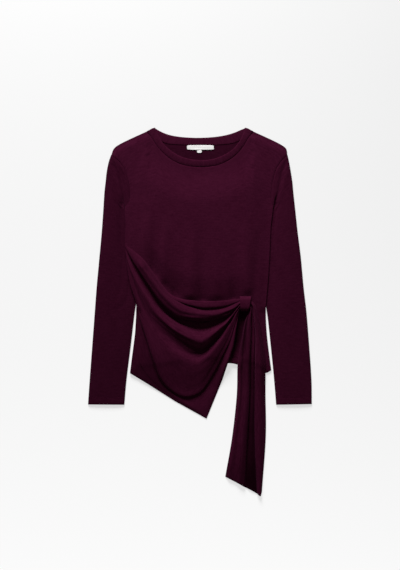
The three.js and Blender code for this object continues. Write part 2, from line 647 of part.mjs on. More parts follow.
function drape() {
  const lines = DRAPE_FOLDS.map(({ seam, a, b, c, d, e, loop, z }, row) => {
    const t = row / (DRAPE_FOLDS.length - 1);
    const start = [sideX(seam, 'left') + SEAM_GAP, seam];
    const stations = [start, a, b, c, d, e, loop];
    const gathered = [GATHER.x, mix(GATHER.top, GATHER.bottom, t)];
    const along = row === DRAPE_FOLDS.length - 1 ? straight : through;
    return (u) => {
      const place = u * stations.length;
      const at = (axis) => along(stations.map((p) => p[axis]), place / (stations.length - 1));
      const inside = clamp(place - stations.length + 1);
      return [mix(at(0), gathered[0], inside), mix(at(1), gathered[1], inside), z];
    };
  });
  const height = (x, y, z, u, v) => {
    const gathers = through(DRAPE_DOME, u) * GATHER.dome * Math.sin(Math.PI * v);
    return restingTop(x, y) + z * through(DRAPE_SWELL, u) + Math.max(0, gathers);
  };
  const upper = foldGrid(lines, FOLD_STEPS, (DRAPE_SWELL.length - 1) * DRAPE_STATION_STEPS, height).reverse();
  return sheet(upper, wallUnderFolds(upper));
}

const TAIL_SWELL = [0.3, 0.5, 0.9, 1, 1, 1, 0.8, 0.35];
const TAIL_DOME = [1, 0.75, 0.2, 0, 0, 0, 0, 0];

function tail() {
  const lines = TAIL_FOLDS.map(({ start, exit, x, end, z }) => {
    const stations = [[TAIL_START_X, start], exit, ...x.map((value, k) => [value, TAIL_STATIONS[k]]), end];
    return (u) => [...pointOn(stations, u), z];
  });
  const height = (x, y, z, u, v) => {
    const gathers = through(TAIL_DOME, u) * GATHER.dome * Math.sin(Math.PI * v);
    return restingTop(x, y) + z * through(TAIL_SWELL, u) + Math.max(0, gathers);
  };
  const upper = foldGrid(lines, FOLD_STEPS, (TAIL_SWELL.length - 1) * 2, height);
  return sheet(upper, wallUnderFolds(upper));
}

// ---- Loop and labels -------------------------------------------------------------------------------

// A strip with a wall, bent along a path in side view and narrower at its lower end.
function loop() {
  const columns = 4;
  const last = LOOP_PATH.length - 1;
  const level = frontTop((LOOP.left + LOOP.right) / 2, LOOP_PATH[0][0]);
  const upper = LOOP_PATH.map(([y, z], row) => {
    const low = smooth(last - 4, last - 1, row);
    const from = mix(LOOP.left, LOOP.lowLeft, low);
    const to = mix(LOOP.right, LOOP.lowRight, low);
    return Array.from({ length: columns + 1 }, (_, c) => [mix(from, to, c / columns), y, level + z]);
  });
  return sheet(upper, wallBelow(upper, LOOP.thickness));
}

// A flat tab with rounded corners, lying on the back's inner face.
function tab({ x, y, width, height, thickness, corner }) {
  const shape = new THREE.Shape();
  const right = width / 2;
  const top = height / 2;
  shape.moveTo(-right + corner, -top);
  shape.lineTo(right - corner, -top);
  shape.quadraticCurveTo(right, -top, right, -top + corner);
  shape.lineTo(right, top - corner);
  shape.quadraticCurveTo(right, top, right - corner, top);
  shape.lineTo(-right + corner, top);
  shape.quadraticCurveTo(-right, top, -right, top - corner);
  shape.lineTo(-right, -top + corner);
  shape.quadraticCurveTo(-right, -top, -right + corner, -top);
  const cut = { depth: thickness, bevelEnabled: false, curveSegments: 3 };
  const geometry = new THREE.ExtrudeGeometry(shape, cut);
  geometry.translate(x, y, backTop(x, y) + SEAM_GAP);
  return geometry;
}

add('back', panel(BACK_NECK, backUnder), jersey);
add('front', panel(FRONT_NECK, frontUnder), jersey);
add('sleeve_left', sleeve('left', SLEEVE_LEFT, HEAD_LEFT), jersey);
add('sleeve_right', sleeve('right', SLEEVE_RIGHT, HEAD_RIGHT), jersey);
add('neckband', neckband(), jersey);
add('drape', drape(), jersey);
add('tail', tail(), jersey);
add('loop', loop(), jersey);
add('neck_label', tab(LABEL), woven);
add('size_tag', tab(SIZE_TAG), woven);

export default garment;
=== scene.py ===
import math

import bpy
import numpy as np
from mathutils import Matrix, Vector


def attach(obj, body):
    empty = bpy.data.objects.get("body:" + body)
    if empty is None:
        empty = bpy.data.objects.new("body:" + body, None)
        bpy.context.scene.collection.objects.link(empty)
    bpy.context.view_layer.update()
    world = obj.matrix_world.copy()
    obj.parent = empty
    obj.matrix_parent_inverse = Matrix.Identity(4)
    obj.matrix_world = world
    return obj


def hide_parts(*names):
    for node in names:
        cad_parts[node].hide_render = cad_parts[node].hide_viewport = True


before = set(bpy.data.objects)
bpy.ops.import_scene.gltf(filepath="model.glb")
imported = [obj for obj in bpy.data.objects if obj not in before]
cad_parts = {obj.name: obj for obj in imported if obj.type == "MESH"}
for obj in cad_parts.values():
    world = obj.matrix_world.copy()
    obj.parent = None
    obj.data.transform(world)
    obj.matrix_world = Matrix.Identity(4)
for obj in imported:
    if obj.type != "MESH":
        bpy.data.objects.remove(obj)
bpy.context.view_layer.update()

# ---- Back ------------------------------------------------------------------------------------------
# The back is one panel of brushed cotton jersey, cut in one piece from hem to neck. It lies flat on the
# surface, raised a little along its sides, where it lies on the inner edges of the sleeves.

MM = 0.001
JERSEY_WALL = 1.2              # one layer of the jersey, in millimetres as every size here
SEAM_INSET = 0.55              # how far each panel's middle ends from its seam line
SEAM_GAP = 0.3                 # between a piece and the one that it is sewn to or lies on

# Side seam from hem to underarm, then the armhole seam to the shoulder tip: y, left x, right x.
SIDE = [
    (-147, -168, 171), (-110, -163.5, 167), (-60, -157, 161), (-15, -152.5, 158), (20, -153.5, 158.5),
    (60, -166, 162), (110, -175, 165.5), (160, -179.5, 168), (205, -178.5, 170), (249, -180, 175),
    (266, -169.5, 171), (290, -168, 171.5), (315, -172, 175), (342, -181.5, 183), (362, -195.5, 195.5),
    (376, -213, 209.5),
]
UNDERARM = {"row": 9, "y": 249}
HEM = [(-168, -147), (-100, -141), (-20, -129), (64, -123), (93, -127), (128, -137), (156, -146.5), (171, -140)]
SHOULDER = [(-213, 376), (-206.5, 392), (-190, 404), (-160, 418.5), (-126, 434)]
BACK_NECK = [
    (-126, 434), (-110, 422), (-94, 412), (-74, 405), (-40, 402.5), (0, 401.5), (40, 402.5), (74, 406),
    (94, 413), (110, 422), (126, 434),
]
SHOULDER_SHARE = 1 / 6         # of a panel's top, at each side of the neck
# How the back lies on a sleeve: its rise, how far in from the side, where from, and how far past the underarm.
ON_SLEEVE = {"rise": 3.8, "inwards": (40, 66), "from_y": (-4, 14), "past_underarm": (2, 26)}
PANEL_GRID = {"rows": 116, "columns": 121}
HEM_STEPS = np.arange(13, 23)  # rows of points over a hem's stitching, by their distance from the edge
PAST_HEM = 26                  # where the wider rows begin


def smooth(low, high, value):
    """0 below low, 1 above high, and a soft step between them."""
    t = np.clip((value - low) / (high - low), 0, 1)
    return t * t * (3 - 2 * t)


def mix(a, b, t):
    return a + (b - a) * t


def through(rows, t):
    """A smooth line through evenly counted rows, where t runs from 0 at the first to 1 at the last."""
    rows = np.asarray(rows, dtype=float)
    last = len(rows) - 1
    place = np.clip(np.asarray(t, dtype=float), 0, 1) * last
    i = np.minimum(place.astype(int), last - 1)
    f = (place - i).reshape(place.shape + (1,) * (rows.ndim - 1))
    ends = np.concatenate([2 * rows[:1] - rows[1:2], rows, 2 * rows[-1:] - rows[-2:-1]])
    before, here, there, after = (ends[i + k] for k in range(4))
    return (here * (2 * f**3 - 3 * f**2 + 1) + (there - before) / 2 * (f**3 - 2 * f**2 + f)
            + there * (3 * f**2 - 2 * f**3) + (after - here) / 2 * (f**3 - f**2))


def along(points, count=400):
    """Many points of the smooth line through a few."""
    return through(points, np.linspace(0, 1, count))


side_line = along(SIDE, 900)
hem_line = along(HEM)
shoulder_line = along(SHOULDER)


def side_x(y, side):
    return np.interp(y, side_line[:, 0], side_line[:, 1 if side == "left" else 2])


def hem_y(x):
    return np.interp(x, hem_line[:, 0], hem_line[:, 1])


def inside_sides(x, y):
    """How far a place on the body lies in from the nearer side."""
    return np.minimum(x - side_x(y, "left"), side_x(y, "right") - x)


def back_top(x, y):
    """Height of the back's upper face: a wall's thickness, and more where it lies on a sleeve."""
    across = 1 - smooth(*ON_SLEEVE["inwards"], inside_sides(x, y))
    lengthwise = smooth(*ON_SLEEVE["from_y"], y) * (1 - smooth(*ON_SLEEVE["past_underarm"], y - UNDERARM["y"]))
    return JERSEY_WALL + ON_SLEEVE["rise"] * across * lengthwise


def panel_plan(neck):
    """Plan of a body panel as rows of points from hem to shoulders, moved in from its seams."""
    first_step = SIDE[1][0] - SIDE[0][0]
    by_hem = np.array([0, 5, 10, *HEM_STEPS]) / first_step
    place = np.concatenate([by_hem, np.linspace(PAST_HEM / first_step, len(SIDE) - 1, PANEL_GRID["rows"])])
    u = np.linspace(0, 1, PANEL_GRID["columns"])
    y, left_x, right_x = through(SIDE, place / (len(SIDE) - 1)).T
    v = (y - SIDE[0][0]) / (SIDE[-1][0] - SIDE[0][0])
    left = np.stack([left_x, y], 1)
    right = np.stack([right_x, y + (HEM[-1][1] - HEM[0][1]) * np.clip(1 - place, 0, 1)], 1)
    hem_x = mix(HEM[0][0], HEM[-1][0], u)
    hem = np.stack([hem_x, hem_y(hem_x)], 1)
    other_shoulder = [(SIDE[-1][2], SIDE[-1][0]), *((-x, y) for x, y in SHOULDER[1:])]
    from_middle = np.abs(u - 0.5)[:, None]
    shoulder = np.where(u[:, None] < 0.5, through(SHOULDER, u / SHOULDER_SHARE),
                        through(other_shoulder, (1 - u) / SHOULDER_SHARE))
    top = through(neck, (u - SHOULDER_SHARE) / (1 - 2 * SHOULDER_SHARE))
    top = np.where(from_middle > 0.5 - SHOULDER_SHARE, shoulder, top)
    level = left[:, None] + (right - left)[:, None] * u[None, :, None]
    low = mix(hem[:1], hem[-1:], u[:, None])
    high = mix(top[:1], top[-1:], u[:, None])
    to_hem = (1 - v) ** 2
    underarm = (UNDERARM["y"] - SIDE[0][0]) / (SIDE[-1][0] - SIDE[0][0])
    to_top = np.clip((v - underarm) / (1 - underarm), 0, 1) ** 1.2
    plan = level + to_hem[:, None, None] * (hem - low) + to_top[:, None, None] * (top - high)
    return drawn_in(plan, SEAM_INSET)


def border_of(rows, columns):
    """Row and column of every border point of a grid, in order round it."""
    ring = [(0, c) for c in range(columns - 1)] + [(r, columns - 1) for r in range(rows - 1)]
    ring += [(rows - 1, c) for c in range(columns - 1, 0, -1)] + [(r, 0) for r in range(rows - 1, 0, -1)]
    return np.array(ring)


def drawn_in(plan, inset):
    """The plan with its border moved inwards, square to itself."""
    ring = border_of(*plan.shape[:2])
    edge = plan[ring[:, 0], ring[:, 1]]
    run = np.roll(edge, -1, 0) - np.roll(edge, 1, 0)
    inwards = np.stack([-run[:, 1], run[:, 0]], 1) / np.linalg.norm(run, axis=1)[:, None]
    moved = plan.copy()
    moved[ring[:, 0], ring[:, 1]] += inwards * inset
    return moved


def face_normals(grid):
    """Unit normals of a grid of points."""
    normal = np.cross(np.gradient(grid, axis=1), np.gradient(grid, axis=0))
    return normal / np.maximum(np.linalg.norm(normal, axis=2), 1e-9)[..., None]


def cloth_lengths(grid):
    """How far each point of a grid lies along the cloth, across it and lengthwise, in metres."""
    def run(axis):
        step = np.linalg.norm(np.diff(grid, axis=axis), axis=2)
        start = np.zeros_like(np.take(step, [0], axis=axis))
        return np.concatenate([start, np.cumsum(step, axis=axis)], axis=axis)
    across = run(1)
    lengthwise = run(0)
    across -= across[:, across.shape[1] // 2][:, None]
    lengthwise = np.broadcast_to(lengthwise.mean(axis=1)[:, None], across.shape)
    return np.stack([across, lengthwise], 2) * MM


def piece(name, points, faces, spread, finish, inner=None):
    """A mesh object of one finish from points in millimetres. Spread is each face corner's place on the cloth,
    and inner is how far each point goes to the darker tone that the wrong side has in full, which on the right
    side is painted shade."""
    mesh = bpy.data.meshes.new(name)
    mesh.from_pydata((points * MM).tolist(), [], faces.tolist())
    mesh.polygons.foreach_set("use_smooth", [True] * len(mesh.polygons))
    mesh.uv_layers.new(name="cloth").data.foreach_set("uv", spread.ravel())
    wrong_side = np.zeros(len(points)) if inner is None else inner
    mesh.attributes.new("inner", "FLOAT", "POINT").data.foreach_set("value", wrong_side)
    mesh.materials.append(finish)
    made = bpy.data.objects.new(name, mesh)
    bpy.context.scene.collection.objects.link(made)
    return made


RIM_TURN = np.radians([36, 72, 108, 144])  # the points of a rounded edge, from the upper face to the lower


def cloth_sheet(name, upper, wall, finish, wrong_side="under", shade=0):
    """A thin closed shell under a grid of upper points, with its edges rounded over. Shade is painted shade: how
    far its right side is drawn towards the darker tone of the wrong side."""
    rows, columns = upper.shape[:2]
    normal = face_normals(upper)
    middle = upper - normal * wall / 2
    ring = border_of(rows, columns)
    edge = middle[ring[:, 0], ring[:, 1]]
    edge_normal = normal[ring[:, 0], ring[:, 1]]
    out = np.cross(np.roll(edge, -1, 0) - np.roll(edge, 1, 0), edge_normal)
    out /= np.linalg.norm(out, axis=1)[:, None]
    rim = [edge + wall / 2 * (edge_normal * math.cos(a) + out * math.sin(a)) for a in RIM_TURN]
    points = np.concatenate([(middle + normal * wall / 2).reshape(-1, 3),
                             (middle - normal * wall / 2).reshape(-1, 3), *rim])
    lengths = cloth_lengths(upper)
    ring_lengths = lengths[ring[:, 0], ring[:, 1]]
    spread = np.concatenate([lengths.reshape(-1, 2)] * 2 + [ring_lengths] * len(rim))
    index = np.arange(rows * columns).reshape(rows, columns)
    a, b, c, d = (index[:-1, :-1], index[:-1, 1:], index[1:, 1:], index[1:, :-1])
    top = np.stack([a, b, c, d], -1).reshape(-1, 4)
    under = np.stack([a, d, c, b], -1).reshape(-1, 4) + rows * columns
    top_ring = index[ring[:, 0], ring[:, 1]]
    first = 2 * rows * columns
    loops = [top_ring] + [np.arange(len(ring)) + first + k * len(ring) for k in range(len(rim))]
    loops.append(top_ring + rows * columns)
    sides = [np.stack([np.roll(high, -1), high, low, np.roll(low, -1)], -1)
             for high, low in zip(loops, loops[1:])]
    faces = np.concatenate([top, under, *sides])
    inner = np.zeros(len(points))
    inner[:rows * columns] = np.broadcast_to(shade, (rows, columns)).reshape(-1)
    if wrong_side == "upper":
        inner[:rows * columns] = 1
    elif wrong_side == "under":
        inner[rows * columns:first] = 1
    return piece(name, points, faces, spread[faces], finish, inner)


def operator(operation, swapped=False):
    """One of Python's operators, as a Math node."""
    return lambda amount, other: amount.math(operation, other, swapped)


class Amount:
    """A number that changes over a surface. Sums and products of it add Math nodes."""

    def __init__(self, finish, socket):
        self.finish = finish
        self.socket = socket

    def math(self, operation, other=None, swapped=False):
        pair = [self] if other is None else [other, self] if swapped else [self, other]
        return self.finish.node("ShaderNodeMath", {"operation": operation}, *pair)

    def output(self, number):
        """Another output of the same node."""
        return Amount(self.finish, self.socket.node.outputs[number])

    __add__ = __radd__ = operator("ADD")
    __mul__ = __rmul__ = operator("MULTIPLY")
    __sub__, __rsub__ = operator("SUBTRACT"), operator("SUBTRACT", swapped=True)


class Finish:
    """One material, named for what it covers."""

    def __init__(self, name):
        self.material = bpy.data.materials.new(name)
        self.material.use_nodes = True
        self.material.node_tree.nodes.clear()

    def node(self, kind, settings=None, *values, out=0, **named):
        """Adds a node, sets its settings first, then its sockets by order or by name."""
        made = self.material.node_tree.nodes.new(kind)
        for key, value in (settings or {}).items():
            if key == "stops":
                for k, (position, colour) in enumerate(value):
                    stop = made.color_ramp.elements[k] if k < 2 else made.color_ramp.elements.new(position)
                    stop.position = position
                    stop.color = (*colour, 1)
            else:
                setattr(made, key, value)
        for key, value in [*enumerate(values), *((k.replace("_", " "), v) for k, v in named.items())]:
            socket = made.inputs[key]
            if isinstance(value, Amount):
                self.material.node_tree.links.new(value.socket, socket)
            else:
                socket.default_value = value
        return Amount(self, made.outputs[out]) if made.outputs else None


def waves(place, pitch):
    """The angle of a wave that repeats at each pitch, in metres on the cloth."""
    return place * (2 * math.pi / pitch)


def jersey_finish():
    """Brushed cotton jersey: fine wales and courses, a faint heather and a short nap."""
    jersey = Finish("burgundy_jersey")
    cloth = jersey.node("ShaderNodeUVMap", {"uv_map": "cloth"})
    across = jersey.node("ShaderNodeSeparateXYZ", None, cloth)
    lengthwise = across.output(1)
    wales = waves(across, 0.0011).math("SINE")
    courses = (waves(lengthwise, 0.0009) + wales * 1.3).math("SINE")
    knit = wales * 0.5 + courses * 0.5
    heather_place = jersey.node("ShaderNodeMapping", None, cloth, Scale=(0.35, 1, 1))
    heather = jersey.node("ShaderNodeTexNoise", None, heather_place, Scale=520, Detail=3, Roughness=0.6)
    cloud = jersey.node("ShaderNodeTexNoise", None, cloth, Scale=16, Detail=3, Roughness=0.55)
    nap = jersey.node("ShaderNodeTexNoise", None, cloth, Scale=1500, Detail=2, Roughness=0.7)
    slub_place = jersey.node("ShaderNodeMapping", None, cloth, Scale=(0.16, 1, 1))
    slub = jersey.node("ShaderNodeTexNoise", None, slub_place, Scale=330, Detail=2, Roughness=0.6)
    shade = heather * 0.4 + slub * 0.36 + cloud * 0.12 + nap * 0.12
    colour = jersey.node("ShaderNodeValToRGB", {"stops": [
        (0.34, (0.0205, 0.0018, 0.0078)), (0.66, (0.0415, 0.005, 0.0172))]}, shade)
    # The attribute inner darkens the colour: to the wrong side's darker tone, which also stands for shade inside
    # the neck, and as painted shade on parts of the right side.
    inner = jersey.node("ShaderNodeAttribute", {"attribute_name": "inner"}, out=2)
    colour = jersey.node("ShaderNodeVectorMath", {"operation": "SCALE"}, colour, Scale=1 - inner * 0.38)
    height = knit * 0.35 + nap * 0.5 + heather * 0.35
    bump = jersey.node("ShaderNodeBump", None, Strength=0.22, Distance=0.0004, Height=height)
    surface = jersey.node(
        "ShaderNodeBsdfPrincipled", None, colour, Roughness=0.9, Normal=bump, Specular_IOR_Level=0.0,
        Sheen_Weight=0.05, Sheen_Roughness=0.45, Sheen_Tint=(0.9, 0.2, 0.5, 1))
    jersey.node("ShaderNodeOutputMaterial", None, surface)
    return jersey.material


JERSEY = jersey_finish()


def nearest(line, x, y):
    """How far each place lies from a line of points, and where along the line, from 0 to 1, it is nearest."""
    gap = np.full(x.shape, np.inf)
    where = np.zeros(x.shape)
    for k, (start, step) in enumerate(zip(line, np.diff(line, axis=0))):
        t = np.clip(((x - start[0]) * step[0] + (y - start[1]) * step[1]) / (step @ step), 0, 1)
        here = np.hypot(x - start[0] - t * step[0], y - start[1] - t * step[1])
        where = np.where(here < gap, (k + t) / (len(line) - 1), where)
        gap = np.minimum(here, gap)
    return gap, where


def creases(x, y, rows):
    """Height that a table of troughs and ridges adds at each place. A row's height is one number that fades at
    both ends of its line, or one for each of several stations."""
    total = np.zeros_like(x)
    for row in rows:
        gap, where = nearest(along(row["line"], 15), x, y)
        if isinstance(row["height"], tuple):
            height = through(row["height"], where)
        else:
            height = row["height"] * np.sin(math.pi * mix(0.06, 0.94, where))
        total += height * np.exp(-(gap / row["width"]) ** 2)
    return total


def thread_finish():
    """Fine spun polyester thread, a little smoother and brighter than the jersey."""
    thread = Finish("burgundy_thread")
    place = thread.node("ShaderNodeTexCoord", out=3)
    strands = thread.node("ShaderNodeTexNoise", None, place, Scale=2600, Detail=2)
    colour = thread.node("ShaderNodeValToRGB", {"stops": [
        (0.3, (0.026, 0.0012, 0.0095)), (0.7, (0.052, 0.0032, 0.02))]}, strands)
    bump = thread.node("ShaderNodeBump", None, Strength=0.3, Distance=0.0001, Height=strands)
    surface = thread.node("ShaderNodeBsdfPrincipled", None, colour, Roughness=0.75, Normal=bump,
                          Specular_IOR_Level=0.04)
    thread.node("ShaderNodeOutputMaterial", None, surface)
    return thread.material


THREAD = thread_finish()
STITCH = {"Pitch": 2.7 * MM, "Stitch length": 2.2 * MM, "Thread width": 0.45 * MM, "Unevenness": 0.1, "Seed": 7}
HEM_ROWS = (15, 18.5)          # the two needle rows of a turned hem, from its edge
HEM_END = 21                   # where the turned layer's step has gone
HEM_RELIEF = {"lift": 0.3, "groove": 0.45, "width": 1.1}
BODY_HEM = (0.01, 0.99)        # share of the body's hem that is stitched, clear of the side seams


def stitch_tree(finish):
    """A node tree that lays stitches along lines, flat on the cloth they belong to."""
    tree = bpy.data.node_groups.new("stitch_rows_" + finish.name, "GeometryNodeTree")
    tree.interface.new_socket("Geometry", in_out="INPUT", socket_type="NodeSocketGeometry")
    for key, value in STITCH.items():
        kind = "NodeSocketInt" if isinstance(value, int) else "NodeSocketFloat"
        tree.interface.new_socket(key, in_out="INPUT", socket_type=kind)
    tree.interface.new_socket("Geometry", in_out="OUTPUT", socket_type="NodeSocketGeometry")
    given = tree.nodes.new("NodeGroupInput").outputs

    def node(kind, settings=(), **inputs):
        made = tree.nodes.new(kind)
        for key, value in dict(settings).items():
            setattr(made, key, value)
        for key, value in inputs.items():
            socket = made.inputs[key.replace("_", " ")]
            if isinstance(value, bpy.types.NodeSocket):
                tree.links.new(value, socket)
            else:
                socket.default_value = value
        return made

    line = node("GeometryNodeMeshToCurve", Mesh=given["Geometry"])
    spaced = node("GeometryNodeResampleCurve", {"mode": "LENGTH"}, Curve=line.outputs[0], Length=given["Pitch"])
    bead = node("GeometryNodeMeshUVSphere", Segments=6, Rings=4, Radius=0.5)
    rounded = node("GeometryNodeSetShadeSmooth", Geometry=bead.outputs["Mesh"])
    size = node("ShaderNodeCombineXYZ", X=given["Stitch length"],
                Y=given["Thread width"], Z=given["Thread width"])
    stitch = node("GeometryNodeTransform", Geometry=rounded.outputs[0], Scale=size.outputs[0])
    run = node("GeometryNodeInputTangent")
    out = node("GeometryNodeInputNamedAttribute", {"data_type": "FLOAT_VECTOR"}, Name="out")
    turned = node("FunctionNodeAlignRotationToVector", {"axis": "X"}, Vector=run.outputs[0])
    laid = node("FunctionNodeAlignRotationToVector", {"axis": "Z", "pivot_axis": "X"},
                Rotation=turned.outputs[0], Vector=out.outputs[0])
    least = node("ShaderNodeMath", {"operation": "SUBTRACT"})
    least.inputs[0].default_value = 1
    tree.links.new(given["Unevenness"], least.inputs[1])
    uneven = node("FunctionNodeRandomValue", {"data_type": "FLOAT"}, Seed=given["Seed"])
    tree.links.new(least.outputs[0], uneven.inputs[2])
    uneven.inputs[3].default_value = 1
    placed = node("GeometryNodeInstanceOnPoints", Points=spaced.outputs[0], Instance=stitch.outputs[0],
                  Rotation=laid.outputs[0], Scale=uneven.outputs[1])
    real = node("GeometryNodeRealizeInstances", Geometry=placed.outputs[0])
    finished = node("GeometryNodeSetMaterial", Geometry=real.outputs[0], Material=finish)
    tree.links.new(finished.outputs[0], tree.nodes.new("NodeGroupOutput").inputs[0])
    return tree


STITCH_ROWS = stitch_tree(THREAD)


def beside(upper, edge, distance, normal=None, keep=(0, 1), lift=0.12):
    """A line on a grid of points at a distance from one of its edges, with the way out of the cloth at each
    point. Keep is the share of the edge that it runs along."""
    normal = face_normals(upper) if normal is None else normal
    both = np.concatenate([upper, normal], axis=2)
    if edge in ("left", "right"):
        both = both.swapaxes(0, 1)
    if edge in ("top", "right"):
        both = both[::-1]
    first, last = (round(k * (both.shape[1] - 1)) for k in keep)
    both = both[:, first:last + 1]
    step = np.linalg.norm(np.diff(both[..., :3], axis=0), axis=2)
    run = np.concatenate([np.zeros((1, both.shape[1])), np.cumsum(step, axis=0)])
    line = []
    for column in range(both.shape[1]):
        place = np.interp(distance, run[:, column], np.arange(len(run)))
        k = min(int(place), len(run) - 2)
        line.append(mix(both[k, column], both[k + 1, column], place - k))
    line = np.array(line)
    line[:, 3:] /= np.linalg.norm(line[:, 3:], axis=1)[:, None]
    line[:, :3] += line[:, 3:] * lift
    return line


def stitches(name, *rows):
    """Stitches along several lines, as one plain mesh."""
    lines = np.concatenate(rows)
    starts = np.cumsum([0] + [len(row) for row in rows])
    edges = [(k, k + 1) for a, b in zip(starts, starts[1:]) for k in range(a, b - 1)]
    guide = bpy.data.meshes.new(name + "_lines")
    guide.from_pydata((lines[:, :3] * MM).tolist(), edges, [])
    guide.attributes.new("out", "FLOAT_VECTOR", "POINT").data.foreach_set("vector", lines[:, 3:].ravel())
    holder = bpy.data.objects.new(name + "_lines", guide)
    bpy.context.scene.collection.objects.link(holder)
    rows_of = holder.modifiers.new("rows", "NODES")
    rows_of.node_group = STITCH_ROWS
    for item in STITCH_ROWS.interface.items_tree:
        if item.in_out == "INPUT" and item.name in STITCH:
            rows_of[item.identifier] = STITCH[item.name]
    seen = holder.evaluated_get(bpy.context.evaluated_depsgraph_get())
    made = bpy.data.objects.new(name, bpy.data.meshes.new_from_object(seen))
    bpy.context.scene.collection.objects.link(made)
    bpy.data.objects.remove(holder)
    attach(made, "root")
    return made


def hem_stitches(name, face, **line):
    """Both needle rows of a turned hem, at the bottom of a grid of points."""
    return stitches(name, *(beside(face, "bottom", row, **line) for row in HEM_ROWS))


def hem_relief(from_edge):
    """Height of a turned hem over its cloth: two layers as far as the stitching, which sinks into them."""
    grooves = sum(np.exp(-((from_edge - row) / HEM_RELIEF["width"]) ** 2) for row in HEM_ROWS)
    turned = smooth(-1, 3, from_edge) * (1 - smooth(HEM_ROWS[1], HEM_END, from_edge))
    return HEM_RELIEF["lift"] * turned - HEM_RELIEF["groove"] * grooves


back_plan = panel_plan(BACK_NECK)
back_x, back_y = back_plan[..., 0], back_plan[..., 1]
back_height = back_top(back_x, back_y)
# Its upper face, the inside of the shirt, has the wrong side's darker tone; seen in the neck opening it is also
# painted shade.
back_piece = cloth_sheet(
    "back_panel", np.dstack([back_x, back_y, back_height]), JERSEY_WALL, JERSEY, wrong_side="upper")
back_face = np.dstack([back_x, back_y, back_height - JERSEY_WALL])
back_thread = hem_stitches(
    "back_hem_stitches", back_face, normal=-face_normals(back_face), keep=BODY_HEM, lift=-0.05)
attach(back_piece, "root")
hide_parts("back")


# ---- Front -----------------------------------------------------------------------------------------
# The front is a second panel of the same jersey, seamed to the back at the sides and shoulders. It lies
# over the back with a little air between, and the pull of the draped panel gives it soft upright folds.

FRONT_NECK = [
    (-126, 434), (-114, 418), (-101, 398), (-86, 381.5), (-68, 367.5), (-46, 356.5), (-22, 351), (0, 349.5),
    (22, 350.5), (46, 355.5), (68, 365.5), (86, 379), (101, 396), (114, 417), (126, 434),
]
NECK_HALF = FRONT_NECK[-1][0]
FRONT_LEVEL = 5.0              # underside of the front at the armholes
FRONT_SWELL = 9.5              # and how much higher it stands over the chest
# How far in from each edge it takes to come off the back, and to rise to that swell.
FRONT_OPENS = {"seam": 20, "neck": 90, "side": 62, "hem": 44, "shoulder": 130}
SWELL_HALF = 170               # half the width of the swell, at most
HELD_SHARE = 0.25              # share of that left under the draped panel, which holds it down from this line
HELD_FROM = [
    (-177, 161), (-133, 123.5), (-76, 54), (-14, 28), (28, 26), (64, 28), (95, 31), (128, 6), (171, -60),
]
HELD_OVER = (-8, 64)           # from this far under the line to this far over it
NECK_LEVEL = 3.9               # underside at the neckband, middle front
FOLD_CLEAR = 0.4               # between the back and the deepest trough
SEAM_ROLL = {"depth": 0.9, "width": 2.6}
FRONT_CREASES = [
    {"width": 9, "height": (0, 3.8, 2.8), "line": [(-132, 236), (-136, 160), (-134, 112)]},
    {"width": 9, "height": (0, -3.8, -8), "line": [(-110, 226), (-112, 160), (-110, 88)]},
    {"width": 9, "height": (0, 3.6, 2.4), "line": [(-86, 226), (-86, 140), (-86, 80)]},
    {"width": 12, "height": (0, -1.8, -5.4), "line": [(-64, 200), (-62, 120), (-58, 42)]},
    {"width": 12, "height": (0, 2.6, 3), "line": [(-22, 220), (-22, 120), (-24, 44)]},
    {"width": 11, "height": (0, -3, -5.4), "line": [(4, 216), (4, 120), (6, 34)]},
    {"width": 11, "height": (0, 1.4, 1.8), "line": [(36, 170), (38, 90), (40, 44)]},
    {"width": 13, "height": (0, -1.8, -5.6), "line": [(70, 150), (76, 90), (80, 36)]},
    {"width": 12, "height": (0, 3, 3.4), "line": [(104, 216), (108, 120), (114, 56)]},
    {"width": 10, "height": (0, -1.8, -1), "line": [(138, 206), (135, 120), (130, 50)]},
    {"width": 8, "height": -1.2, "line": [(-96, 84), (-76, 60), (-54, 42)]},
    {"width": 10, "height": -3, "line": [(-84, 62), (-58, 32), (-30, 25), (10, 23), (60, 25), (96, 29)]},
    {"width": 15, "height": 3.6, "line": [(54, -116), (78, -122), (106, -124)]},
    {"width": 13, "height": (-5, -7.5, -2.5), "line": [(103, 0), (95, -50), (84, -104)]},
]
POCKET_PAINTED_SHADOW = {"tone": 1.3, "width": 13}  # painted shadow, a darker tone in the pocket under the gathers along the last row above
front_neck_line = along(FRONT_NECK)[::9]


def from_neck(x, y):
    """How far a place on the front lies from the neck seam."""
    return np.where(np.abs(x) < NECK_HALF, nearest(front_neck_line, x, y)[0], np.inf)


def below_shoulder(x, y):
    outward = np.clip(np.abs(x), NECK_HALF, -SHOULDER[0][0])
    return np.interp(outward, -shoulder_line[::-1, 0], shoulder_line[::-1, 1]) - y


def front_top(x, y):
    """Height of the front's upper face without its folds: close to the back along hem, sides and shoulders."""
    from_side, from_hem, from_shoulder = inside_sides(x, y), y - hem_y(x), below_shoulder(x, y)
    near_neck = 1 - smooth(0, FRONT_OPENS["neck"], from_neck(x, y))
    side = np.where(y > UNDERARM["y"], 1, smooth(-2, FRONT_OPENS["seam"], from_side))
    free = side * smooth(-2, FRONT_OPENS["seam"], from_hem) * smooth(-1, FRONT_OPENS["seam"], from_shoulder)
    closed = back_top(x, y) + SEAM_GAP
    held_x, held_y = zip(*HELD_FROM)
    held = mix(HELD_SHARE, 1, smooth(*HELD_OVER, y - np.interp(x, held_x, held_y)))
    middle = (smooth(0, FRONT_OPENS["side"], np.minimum(from_side, SWELL_HALF - np.abs(x)))
              * smooth(-2, FRONT_OPENS["hem"], from_hem) * smooth(0, FRONT_OPENS["shoulder"], from_shoulder))
    level = mix(FRONT_LEVEL + FRONT_SWELL * middle * held, NECK_LEVEL, near_neck)
    return JERSEY_WALL + mix(closed, np.maximum(level, closed), free)


